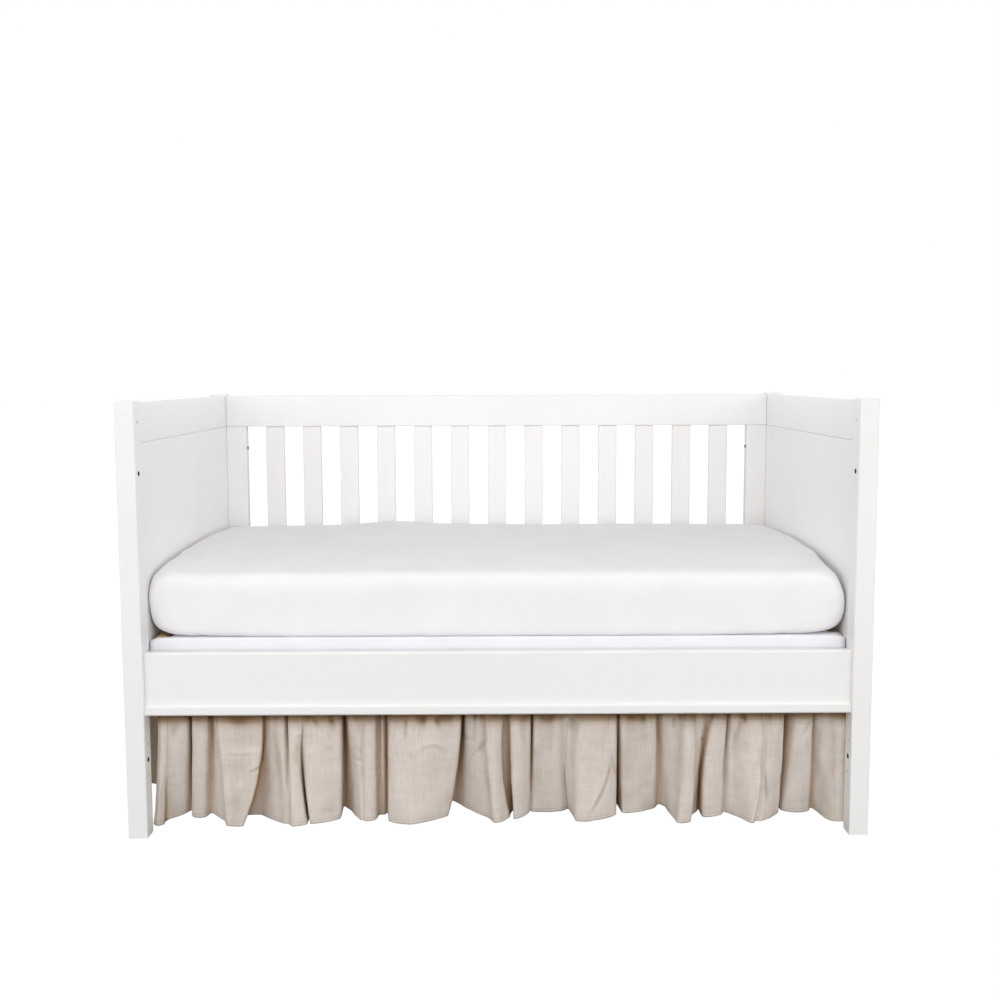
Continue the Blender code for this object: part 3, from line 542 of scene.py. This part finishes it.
def clothGrid(places, us, vs, thickness, cutAway=None, shades=None):
    # a cloth with its UV map in metres, its painted shade shares and its thickness
    item, row, column = layGrid(places)
    mesh = item.data
    for key, values in (shades or {}).items():
        share = mesh.attributes.new(key, "FLOAT", "POINT")
        share.data.foreach_set("value", values.reshape(-1).astype(np.float32))
    layUv(mesh, np.stack([us[column], vs[row]], axis=1))
    if cutAway:
        chooseParts(mesh, "FACE", lambda face: cutAway(face.center))
        bpy.ops.mesh.delete(type="FACE")
        bpy.ops.mesh.select_mode(type="VERT")
        bpy.ops.object.mode_set(mode="OBJECT")
    shell = item.modifiers.new("cloth", "SOLIDIFY")
    shell.thickness = thickness
    shell.offset = 0.0
    activate(item)
    bpy.ops.object.modifier_apply(modifier="cloth")
    bpy.ops.object.shade_smooth()
    return item


# what the linen's painted shade is worked out from
shade = {
    "aheadMm": 1.5,            # cloth less far ahead than this hides nothing
    "shutFrom": 0.48,          # the hidden share of the half circle ahead at which the brown begins
    "shutSpan": 0.42,          # and how much more makes it full
    "troughDepth": 0.0035,
    "underRail": 0.96,
    "troughUnderRail": 0.35,
}


def clothShades(paths, heights, relief):
    # painted shade shares, 0 to 1, for the linen's colour: how much of the half circle ahead the folds beside
    # a point hide, seen in plan, how deep it lies in a gather or crease, and how close under the rail
    shut = np.zeros(paths.shape[:2])
    for row, path in enumerate(paths):
        aside = path[None, :, 0] - path[:, None, 0]
        ahead = path[:, None, 1] - path[None, :, 1]
        slant = np.arctan2(np.abs(aside), np.maximum(ahead, 0.01))
        angle = np.where(ahead > shade["aheadMm"], slant, math.pi / 2)
        left = np.where(aside <= 0, angle, math.pi / 2).min(axis=1)
        right = np.where(aside >= 0, angle, math.pi / 2).min(axis=1)
        hidden = 1 - (left + right) / math.pi
        shut[row] = np.clip((hidden - shade["shutFrom"]) / shade["shutSpan"], 0, 1)
    for _ in range(3):
        shut[:, 1:-1] = (shut[:, :-2] + 2 * shut[:, 1:-1] + shut[:, 2:]) / 4
    trough = np.clip(-relief / shade["troughDepth"], 0, 1)
    below = np.clip((ruffle["railShadow"] - heights) / ruffle["railReach"], 0, 1)
    under = np.where(heights > ruffle["railShadow"], 1.0, 1 - below)
    under = under * (shade["underRail"] + shade["troughUnderRail"] * trough)
    return {"paintedFoldShade": shut, "creaseShade": trough, "railShade": np.clip(under, 0, 1)}


def creaseRelief(across, heights, facing, startX, startZ, endX, endZ, width, rise, arc):
    # a soft ridge (or trough, rise below 0) along a line on the cloth as seen from the front, millimetres
    start, end = np.array((startX, startZ)) * 0.001, np.array((endX, endZ)) * 0.001
    run = end - start
    length = float(np.linalg.norm(run))
    along = ((across - start[0]) * run[0] + (heights - start[1]) * run[1]) / length ** 2
    offset = ((across - start[0]) * run[1] - (heights - start[1]) * run[0]) / length
    offset = offset + arc * 0.001 * 4 * np.clip(along, 0, 1) * (1 - np.clip(along, 0, 1))
    over = np.maximum(np.maximum(-along, along - 1), 0) * length
    fade = np.exp(-(over / ruffle["creaseRunOut"]) ** 2)
    ends = np.clip(np.minimum(along, 1 - along) * 4, 0.25, 1)
    rise = rise * (ruffle["fineGain"] if width < ruffle["fineWidth"] else ruffle["broadGain"])
    return rise * 0.001 * np.exp(-(offset / (width * 0.001)) ** 2) * fade * ends * facing[None, :]


def dropRows(hidden, start, middle, hem):
    # rows of points from the seam to the hem, as shares of the drop, closer at the rail and at the hem
    return np.concatenate([np.linspace(0, 0.29, hidden), np.linspace(0.31, 0.335, 4),
                           np.linspace(start, 0.90, middle)[:-1], np.linspace(0.90, 1.0, hem)])


frontDrops, sideDrops = dropRows(3, 0.347, 38, 10), dropRows(5, 0.36, 20, 8)


def makeRuffle(name, node, linen, lines, place, outward, seamDepth, seed, drops=sideDrops, spacing=(5.0, 6.0),
               keepIn=((-708, 0), (708, 200)), shaded=True, lift=None, creases=()):
    # place turns across, depth and height into the bed's frame, and keepIn is the room inside the end panels
    paths, facing = clothPaths(lines, drops, seamDepth, spacing)
    us = alongLine(paths[-1]) * 0.001
    swing = (paths[-1, :, 1] - seamDepth) * 0.001
    bottom = ruffle["seamHeight"] - np.sqrt(ruffle["length"] ** 2 - swing ** 2)
    if lift:
        bottom = bottom + np.array([lift(x * 0.001) for x in paths[-1, :, 0]])
    heights = ruffle["seamHeight"] + (bottom - ruffle["seamHeight"])[None, :] * np.array(drops)[:, None]
    # above the end panels' bottom edge the cloth stays inside them
    beside = heights > ruffle["panelBottom"]
    paths = np.where(beside[:, :, None], np.clip(paths, keepIn[0], keepIn[1]), paths)
    across, depth = paths[:, :, 0] * 0.001, paths[:, :, 1] * 0.001
    places = np.stack(place(across, depth, heights), axis=2)
    normals = surfaceNormals(places, outward)
    below = np.array(drops) * ruffle["length"]
    fromHem = ruffle["length"] - below
    # gathers that fan out under the seam, slow waves, the crumple of washed linen and the hem's puckers
    gatherFade = np.interp(below, *zip(*ruffle["gatherFade"]))[:, None]
    relief = sum(rise * layers(us, below, rows, seed) * (gatherFade if kind == "gathers" else 1)
                 for kind, (rise, *rows) in ruffle["noises"].items())
    relief = relief * (ruffle["wallShare"] + (1 - ruffle["wallShare"]) * facing)[None, :]
    puckers = np.sin(us * 2 * math.pi / ruffle["puckerPitch"]
                     + ruffle["puckerDrift"] * np.sin(us * 61.0))
    hemFall = np.exp(-((fromHem - ruffle["puckerHeight"]) / ruffle["puckerReach"]) ** 2)[:, None]
    stitchFall = np.exp(-((fromHem - flax["stitchHeight"]) / ruffle["stitchReach"]) ** 2)[:, None]
    relief = relief + ruffle["puckerRise"] * puckers[None, :] * hemFall - ruffle["stitchSink"] * stitchFall
    for crease in creases:
        relief = relief + creaseRelief(across, heights, facing, *crease)
    relief = np.where(beside, np.minimum(relief, ruffle["besideRise"]), relief)
    places = places + normals * relief[:, :, None]
    shades = clothShades(paths, heights, relief) if shaded else None
    item = clothGrid(places, us, fromHem, ruffle["thickness"], shades=shades)
    finishPiece(item, name, linen, "linen")
    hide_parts(node)
    print(name, "points", places.shape[:2], "cloth width", round(float(us[-1]), 3))
    return item, float(us[-1])


# creases, left to right, in millimetres: startX startZ endX endZ width rise arc
frontCreases = [
    (-648, 235, -673, 192, 9, -2.6, 0), (-659, 182, -640, 174, 3.5, -0.9, 1),
    (-682, 229, -694, 77, 9, 1.6, 0), (-616, 231, -620, 41, 7, 1.4, 0),
    (-564, 162, -496, 165, 4, -0.6, -2), (-557, 167, -484, 169, 4, 1.0, -2),
    (-512, 120, -484, 135, 3.5, -1.6, 2), (-509, 126, -488, 137, 3, 1.2, 2),
    (-549, 111, -529, 19, 8, -0.7, 0), (-496, 159, -545, 78, 9, 0.9, 4),
    (-445, 233, -435, 59, 6, 2.2, -6), (-462, 228, -450, 73, 9, -1.8, -4),
    (-418, 201, -400, 204, 4, 1.8, 0), (-408, 194, -412, 127, 7, -2.4, -3),
    (-382, 236, -356, 199, 6, -2.2, 0), (-342, 235, -337, 202, 5, -1.4, 0),
    (-365, 172, -334, 167, 3.5, -0.9, -1), (-371, 39, -336, 37, 6, -1.1, -2),
    (-380, 167, -379, 47, 9, 1.3, 0), (-279, 235, -283, 61, 4, -1.5, 0),
    (-273, 230, -277, 75, 4, 1.3, 0), (-296, 167, -276, 151, 3.5, -1.3, 2),
    (-295, 141, -278, 146, 3, -1.3, -2), (-292, 132, -280, 134, 3, 1.0, 0),
    (-189, 237, -190, 184, 3.5, -1.9, 0), (-178, 235, -178, 181, 6, 1.6, 0),
    (-128, 236, -124, 212, 5, -2.0, 0), (-153, 237, -155, 214, 5, -1.2, 0),
    (-171, 164, -100, 163, 4.5, 1.5, 16), (-167, 157, -106, 156, 6, -1.3, 14),
    (-154, 149, -146, 97, 6, -1.5, -3), (-129, 117, -106, 60, 7, 1.6, 0),
    (-187, 157, -173, 144, 3.5, -1.2, 2), (-27, 181, -49, 148, 4, -1.8, 2),
    (-24, 177, -43, 146, 3.5, 1.1, 2), (-74, 182, -47, 179, 3.5, -1.1, 0), (-17, 233, -4, 46, 8, 1.4, 3),
    (32, 233, 35, 46, 6, 1.5, 0), (46, 234, 54, 165, 7, -1.8, 0), (99, 235, 102, 209, 9, -1.6, 0),
    (90, 164, 116, 163, 4, -0.5, -3), (152, 231, 150, 194, 14, -3.2, 0),
    (134, 166, 138, 127, 4, -1.5, 0), (181, 230, 184, 71, 10, 1.6, 0), (192, 163, 214, 165, 3, -1.1, 0),
    (236, 230, 237, 151, 4.5, 2.0, 0), (225, 230, 212, 121, 5, -1.4, -3),
    (234, 141, 191, 25, 3.5, -2.2, 7), (227, 138, 186, 32, 4.5, 1.5, 7), (236, 141, 245, 99, 3, -1.6, 0),
    (298, 234, 298, 211, 6, -1.8, 0), (274, 183, 318, 184, 5, -0.4, 0), (285, 71, 323, 76, 7, -1.0, 0),
    (329, 228, 340, 161, 4, -2.0, -3), (334, 223, 345, 153, 4, 1.5, -3),
    (361, 230, 362, 197, 5, -2.0, 0), (389, 230, 388, 43, 8, 2.0, 0), (419, 179, 433, 176, 4, -1.2, 0),
    (500, 232, 484, 128, 4, -1.4, -2), (494, 223, 476, 152, 4, 1.2, -2),
    (505, 232, 507, 216, 4, -1.8, 0), (475, 182, 474, 119, 4, -1.0, 0), (541, 147, 559, 48, 4, -2.2, 0),
    (547, 151, 567, 55, 6, 1.4, 0), (537, 120, 531, 13, 5, 1.4, 0), (647, 228, 628, 184, 5, -1.8, 0),
    (632, 228, 619, 191, 6, 1.8, 0), (658, 221, 663, 64, 9, -1.6, 0), (699, 229, 706, 42, 7, 2.0, 0),
    (687, 228, 692, 69, 7, -1.4, 0),
]


def cornerLift(along):
    # the left end's hem is caught up beside the front post
    return 0.080 * max(0.0, 1 - max(0.0, along - 0.068) / 0.16)


cloths = [
    makeRuffle("skirtFront", "skirt_front", naturalLinen,
               foldLines(frontFolds, ruffle["edgeRadius"], ruffle["softRadius"]),
               lambda u, v, z: (u, v - halfDepth, z), 1, seamDepth=49.25, seed=1.7, drops=frontDrops,
               spacing=(3.3, 5.4), creases=frontCreases),
    makeRuffle("skirtBack", "skirt_back", naturalLinen, pleatLines(backPleats, -692, 692, 50, 76),
               lambda u, v, z: (-u, halfDepth - v, z), 1, seamDepth=55.75, seed=5.2),
]
endLines = endLead + pleatLines(endPleats, 128, 680, 44, 66)
for side, sideName, seed, lift in ((-1, "Left", 8.8, cornerLift), (1, "Right", 11.4, None)):
    cloths.append(makeRuffle(
        "skirt" + sideName, "skirt_" + sideName.lower(), litLinen, endLines,
        lambda u, v, z: (side * (halfLength - v), u - halfDepth, z), side, seamDepth=42.75, seed=seed,
        keepIn=((0, 42.2), (790, 200)), shaded=False, lift=lift))
print("ruffles ready")

deck = {
    "middleY": -0.00325,
    "halfX": 0.70725,          # to the drops
    "halfY": 0.3425,
    "height": 0.40105,
    "bottom": 0.350,
    "roll": 0.005,
    "thickness": 0.0008,
    "spacing": 0.009,
    # repeats a metre along and down, shift, rise
    "ripples": ((22.0, 4.0, 3.3, 0.0011), (70.0, 9.0, 6.1, 0.0004)),
    # where a change starts and over what length it grows
    "frontZone": (0.31, 0.025),
    "reachZone": (0.66, 0.042),
    "roundZone": (0.684, 0.018),
    "frontReach": 0.0065,
    "roundDrop": 0.006,
    "roundAbove": 0.375,
    # at each corner: cut away from here outwards, and from and to here behind the bed's front or back
    "cutInner": {(-1, -1): (0.668, 0.064, 0.125), (1, -1): (0.682, 0.085, 0.125),
                 (-1, 1): (0.682, 0.085, 0.125), (1, 1): (0.682, 0.085, 0.125)},
}


def deckProfile(half, stops):
    # one direction's stations across the deck, (place, height), and the distance along the cloth
    roll, bottom, top = deck["roll"], deck["bottom"], deck["height"]
    side = [(half, bottom + (top - roll - bottom) * i / 9) for i in range(10)]
    side += [(half - roll * (1 - math.cos(a)), top - roll * (1 - math.sin(a)))
             for a in [math.radians(90) * i / 5 for i in range(1, 6)]]
    marks = sorted({half - roll, *stops}, reverse=True)
    for near, far in zip(marks, marks[1:] + [0.0]):
        count = max(1, round((near - far) / deck["spacing"]))
        side += [(near + (far - near) * i / count, top) for i in range(1, count + 1)]
    whole = np.array([(-x, z) for x, z in side] + [(x, z) for x, z in reversed(side)][1:])
    return whole, alongLine(whole)


def zoneShare(values, zone):
    start, length = zone
    return np.clip((values - start) / length, 0, 1)


def makeDeck():
    cuts = deck["cutInner"]
    stopsX = {inner for inner, _, _ in cuts.values()}
    stopsY = {halfDepth - edge for _, near, far in cuts.values() for edge in (near, far)}
    xs, us = deckProfile(deck["halfX"], stopsX)
    ys, vs = deckProfile(deck["halfY"], stopsY)
    places = np.zeros((len(ys), len(xs), 3))
    places[:, :, 0] = xs[None, :, 0]
    places[:, :, 1] = ys[:, None, 0] + deck["middleY"]
    places[:, :, 2] = np.minimum(xs[None, :, 1], ys[:, None, 1])
    # the front drop ripples a little, and the top lies smooth under the mattress
    frontDrop = (ys[:, 1] < deck["height"] - 0.002)[:, None] & (ys[:, 0] < 0)[:, None]
    places[:, :, 1] += np.where(frontDrop, layers(us, vs, deck["ripples"]), 0.0)
    # its front hem runs on to the end panels, the corners a little rounded off
    nearFront = zoneShare(-ys[:, 0], deck["frontZone"])[:, None]
    past = zoneShare(np.abs(xs[:, 0]), deck["reachZone"])[None, :]
    places[:, :, 0] += np.sign(xs[:, 0])[None, :] * deck["frontReach"] * past * nearFront
    rounded = zoneShare(np.abs(xs[:, 0]), deck["roundZone"])[None, :]
    places[:, :, 2] -= deck["roundDrop"] * rounded ** 2 * nearFront * (places[:, :, 2] > deck["roundAbove"])

    def outsideCut(middle):
        x, y, _ = middle
        behind = halfDepth - abs(y)
        inner, near, far = cuts[(-1 if x < 0 else 1, -1 if y < 0 else 1)]
        pastX = abs(x) > deck["halfX"] - deck["roll"] + (deck["frontReach"] if y < 0 else 0.0)
        pastY = abs(y - deck["middleY"]) > deck["halfY"] - deck["roll"]
        return (abs(x) > inner and near < behind < far) or (pastX and pastY)

    item = clothGrid(places, us, vs, deck["thickness"], outsideCut)
    finishPiece(item, "skirtDeck", deckCotton, "cotton_deck")
    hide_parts("skirt_deck")
    return item


deckCloth = makeDeck()
print("deck ready")

mattress = {
    "halfX": 0.7104,
    "halfY": 0.3475,
    "middleY": -0.00275,
    "bottom": 0.4021,
    "swellX": 0.004,
    "swellY": 0.0145,
    "around": 520,
    "topRings": 12,
    "middleDraw": 0.35,
    "drawHeight": 0.03,        # of the sheet's drawn and tucked lower edge
    "frontDip": 0.0085,
    "slump": (0.010, 0.004),
    "hump": (-0.265, 0.095, 0.0095),   # where across, how wide, how high
    "creaseRise": 0.0015,      # long creases on the top
    "sideRise": 0.0004,
    "tuckRise": 0.0012,        # of the sheet round the lower edge
    "topHeight": (0.528, 0.012),       # the top's creases start here and grow over this
    "flatFrom": 0.532,         # the UV map looks straight down from here up
    "sideRing": 25,            # and measures the sides along this ring
    # height, swell share, inset at the ends, inset at the sides, corner radius
    "rings": [
        (0.0000, 0.0, 0.038, 0.026, 0.070), (0.0025, 0.0, 0.022, 0.013, 0.066),
        (0.010, 0.0, 0.011, 0.004, 0.052), (0.0250, 0.0, 0.004, 0.001, 0.034),
        (0.0500, 0.1, 0.001, 0.000, 0.020), (0.085, 0.3, 0.000, 0.000, 0.012),
        (0.1050, 0.6, 0.001, 0.001, 0.022), (0.1190, 0.8, 0.004, 0.004, 0.032),
        (0.1275, 1.0, 0.011, 0.010, 0.044), (0.1345, 1.0, 0.024, 0.023, 0.052),
        (0.1370, 1.0, 0.058, 0.056, 0.058), (0.1380, 1.0, 0.120, 0.112, 0.064),
        (0.1385, 1.0, 0.240, 0.220, 0.070),
    ],
}


def smoothStep(values, start, end):
    share = np.clip((values - start) / (end - start), 0, 1)
    return share * share * (3 - 2 * share)


def smoothRows(rows, parts):
    # a Catmull-Rom curve through the rows, each span in parts
    rows = np.array(rows)
    padded = np.vstack([2 * rows[0] - rows[1], rows, 2 * rows[-1] - rows[-2]])
    fine = []
    for a, b, c, d in zip(padded, padded[1:], padded[2:], padded[3:]):
        for step in range(parts):
            t = step / parts
            fine.append(0.5 * (2 * b + (c - a) * t + (2 * a - 5 * b + 4 * c - d) * t ** 2
                               + (3 * b - a - 3 * c + d) * t ** 3))
    return fine + [rows[-1]]


def ringPoints(halfX, halfY, radius, count):
    # points evenly spread round a rectangle with round corners, anticlockwise from the middle of +x
    straightX, straightY = halfX - radius, halfY - radius
    quarter = straightY + radius * math.pi / 2 + straightX
    points = []
    for number in range(count):
        turn, walk = divmod(number / count * 4, 1)
        turn = int(turn)
        walk = walk if turn % 2 == 0 else 1 - walk
        distance = walk * quarter
        if distance < straightY:
            x, y = halfX, distance
        elif distance < straightY + radius * math.pi / 2:
            angle = (distance - straightY) / radius
            x, y = straightX + radius * math.cos(angle), straightY + radius * math.sin(angle)
        else:
            x, y = straightX - (distance - straightY - radius * math.pi / 2), halfY
        signX = 1 if turn in (0, 3) else -1
        signY = 1 if turn in (0, 1) else -1
        points.append((x * signX, y * signY))
    return np.array(points)


def mattressRings():
    # the outline of the mattress ring by ring, from its underside over the side to the middle of the top
    halfX, halfY = mattress["halfX"], mattress["halfY"]
    rings = smoothRows(mattress["rings"], 5)
    height, _, endInset, sideInset, corner = mattress["rings"][-1]
    reach = halfY - sideInset - 0.003
    for step in range(1, mattress["topRings"] + 1):
        inset = reach * step / mattress["topRings"]
        rings.append(np.array((height, 1.0, endInset + inset, sideInset + inset,
                               min(corner, halfY - sideInset - inset))))
    rows = []
    for height, swell, endInset, sideInset, corner in rings:
        radius = max(0.002, min(corner, halfY - sideInset))
        outline = ringPoints(halfX - endInset, halfY - sideInset, radius, mattress["around"])
        rise = (mattress["swellX"] * (1 - (outline[:, 0] / halfX) ** 2)
                + mattress["swellY"] * (1 - (outline[:, 1] / halfY) ** 2))
        if height < mattress["drawHeight"]:
            # the sheet's lower edge is drawn in less along the middle of the sides than at the corners
            nearCorner = smoothStep(np.abs(outline[:, 0]), 0.40, 0.66)
            draw = mattress["middleDraw"] + (1 - mattress["middleDraw"]) * nearCorner
            away = np.abs(outline[:, 1])
            outline[:, 1] = np.sign(outline[:, 1]) * (halfY - (halfY - away) * np.where(
                away > halfY - 0.05, draw, 1.0))
        rows.append(np.stack([outline[:, 0], outline[:, 1] + mattress["middleY"],
                              mattress["bottom"] + height + swell * rise], axis=1))
    return np.stack(rows)


def mattressRelief(places, around):
    # long creases on the top, hardly any relief on the sides, and tucks round the lower edge
    relief = np.zeros(places.shape[:2])
    topStart, topSpan = mattress["topHeight"]
    for row in range(places.shape[0]):
        for column in range(places.shape[1] - 1):
            x, y, z = places[row, column]
            onTop = min(1.0, max(0.0, (z - topStart) / topSpan))
            long = noise.noise(Vector((x * 5.0, y * 30.0, 1.3)))
            long += 0.6 * noise.noise(Vector((x * 11.0, y * 62.0, 4.9)))
            side = noise.noise(Vector((x * 9.0, y * 9.0, z * 14.0)))
            low = max(0.0, 1 - (z - mattress["bottom"]) / mattress["drawHeight"])
            tucks = noise.noise(Vector((around[column] * 38.0, z * 10.0, 8.1)))
            relief[row, column] = (mattress["creaseRise"] * long * onTop
                                   + mattress["sideRise"] * side * (1 - onTop)
                                   + mattress["tuckRise"] * tucks * low)
    relief[:, -1] = relief[:, 0]
    return relief


def makeMattress():
    places = mattressRings()
    # the front edge is worn lower than the ends, and the right front corner has slumped
    x, y, z = places[..., 0], places[..., 1], places[..., 2] + 0.0
    towardFront, high = 1 - smoothStep(y, -0.345, -0.16), smoothStep(z, 0.47, 0.53)
    places[..., 2] -= mattress["frontDip"] * towardFront * high * (1 - smoothStep(np.abs(x), 0.60, 0.70))
    # and a shallow hump is left of the middle, at the back
    place, width, rise = mattress["hump"]
    atBack = smoothStep(y, -0.12, 0.12) * smoothStep(z, 0.49, 0.535)
    places[..., 2] += rise * np.exp(-((x - place) / width) ** 2) * atBack
    corner = smoothStep(x, 0.58, 0.70) * (1 - smoothStep(y, -0.30, -0.10)) * smoothStep(z, 0.45, 0.53)
    places[..., 0] -= mattress["slump"][0] * corner
    places[..., 2] -= mattress["slump"][1] * corner
    places = np.concatenate([places, places[:, :1]], axis=1)
    around, up = alongLine(places[mattress["sideRing"]]), alongLine(places[:, 0])
    places = places + surfaceNormals(places, -1) * mattressRelief(places, around)[:, :, None]
    places[..., 2] = np.maximum(places[..., 2], mattress["bottom"] - 0.0002)
    item, row, column = layGrid(places)
    uvs = np.stack([around[column], up[row]], axis=1)
    cornerPlaces = places[row, column]
    topCorners = cornerPlaces[:, 2] > mattress["flatFrom"]
    uvs[topCorners] = cornerPlaces[topCorners][:, :2]
    layUv(item.data, uvs)
    activate(item)
    bpy.ops.object.mode_set(mode="EDIT")
    bpy.ops.mesh.select_all(action="SELECT")
    bpy.ops.mesh.remove_doubles(threshold=0.00005)
    bpy.ops.mesh.select_all(action="DESELECT")
    bpy.ops.mesh.select_non_manifold(extend=False)
    bpy.ops.mesh.fill_holes(sides=0)
    bpy.ops.mesh.select_all(action="SELECT")
    bpy.ops.mesh.normals_make_consistent(inside=False)
    bpy.ops.object.mode_set(mode="OBJECT")
    bpy.ops.object.shade_smooth()
    finishPiece(item, "mattressSheet", sheetCotton, "cotton_sheet")
    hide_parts("mattress")


makeMattress()
print("mattress ready")

studio = {
    "skyLow": 1.475,           # the white room: from the walls, and from straight above
    "skyHigh": 0.51,
    "bounceHex": "#747474",
    # one on each side: place, watts
    "softboxes": [(1.3, -2.2, 1.2, 5.0), (1.3, -2.3, 0.5, 5.0), (0.6, -2.9, 1.9, 4.8), (3.2, -2.0, 1.4, 4.8)],
    "softboxSize": 1.6,
    "aim": (0.0, 0.0, 0.65),
}


def stagePlane(name, height, material):
    bpy.ops.object.select_all(action="DESELECT")
    bpy.ops.mesh.primitive_plane_add(size=60, location=(0, 0, height))
    plane = bpy.context.object
    plane.name = name
    plane.data.materials.append(material)
    return plane


def makeStudio():
    # a white sweep that the camera sees, and below it the pale floor that returns the light
    white = (1, 1, 1, 1)
    glow = {"Emission Color": white, "Emission Strength": 1.0}
    glowing, _, _ = newMaterial("whiteSweep", "#000000", 1.0, glow)
    sweep = stagePlane("floor", -0.0005, glowing)
    for ray in ("visible_diffuse", "visible_glossy", "visible_transmission", "visible_shadow"):
        setattr(sweep, ray, False)
    pale, _, _ = newMaterial("paleFloor", studio["bounceHex"], 0.9)
    bounce = stagePlane("floorBounce", -0.001, pale)
    bounce.visible_camera = False
    world = bpy.data.worlds.new("studioWhite")
    bpy.context.scene.world = world
    world.use_nodes = True
    tree = world.node_tree
    way = addNode(tree, "TexCoord").outputs["Generated"]
    split = addNode(tree, "SeparateXYZ", {"Vector": way})
    fall = addNode(tree, "MapRange", {"Value": split.outputs["Z"], "From Min": 0.15, "From Max": 0.75,
                                      "To Min": studio["skyLow"], "To Max": studio["skyHigh"]})
    seen = addNode(tree, "LightPath").outputs["Is Camera Ray"]
    strength = addNode(tree, "Mix", {0: seen, 2: fall, 3: 1.0})
    setNode(tree, tree.nodes["Background"], {"Color": white, "Strength": strength})
    places = [((side * x, y, z), watts) for x, y, z, watts in studio["softboxes"] for side in (-1, 1)]
    for number, (place, watts) in enumerate(places):
        lamp = bpy.data.lights.new("softbox" + str(number + 1), "AREA")
        lamp.shape = "SQUARE"
        lamp.size = studio["softboxSize"]
        lamp.energy = watts
        holder = bpy.data.objects.new(lamp.name, lamp)
        holder.location = place
        toBed = Vector(studio["aim"]) - Vector(place)
        holder.rotation_euler = toBed.to_track_quat("-Z", "Y").to_euler()
        bpy.context.scene.collection.objects.link(holder)
    bpy.context.scene.view_settings.view_transform = "Standard"


# the photograph's camera, fitted to 28 points of it: metres, radians, millimetres of lens
view = {"across": -0.00556, "front": -2.56363, "height": 0.93103, "pitch": 0.09392, "yaw": 0.00468,
        "roll": -0.00321, "lens": 39.869, "shiftY": -0.020}


def makeCamera():
    lens = bpy.data.cameras.new("photoView")
    lens.lens = view["lens"]
    lens.sensor_width = 36
    lens.sensor_fit = "HORIZONTAL"
    lens.shift_y = view["shiftY"]
    holder = bpy.data.objects.new("photoView", lens)
    # a camera looks down: rolled about its axis, tipped up to the bed, then turned to it
    rolled = Matrix.Rotation(view["roll"], 4, "Z")
    tipped = Matrix.Rotation(math.pi / 2 - view["pitch"], 4, "X")
    turned = Matrix.Rotation(-view["yaw"], 4, "Z") @ tipped @ rolled
    holder.matrix_world = Matrix.Translation((view["across"], view["front"], view["height"])) @ turned
    bpy.context.scene.collection.objects.link(holder)
    bpy.context.scene.camera = holder


makeStudio()
makeCamera()
print("studio ready")
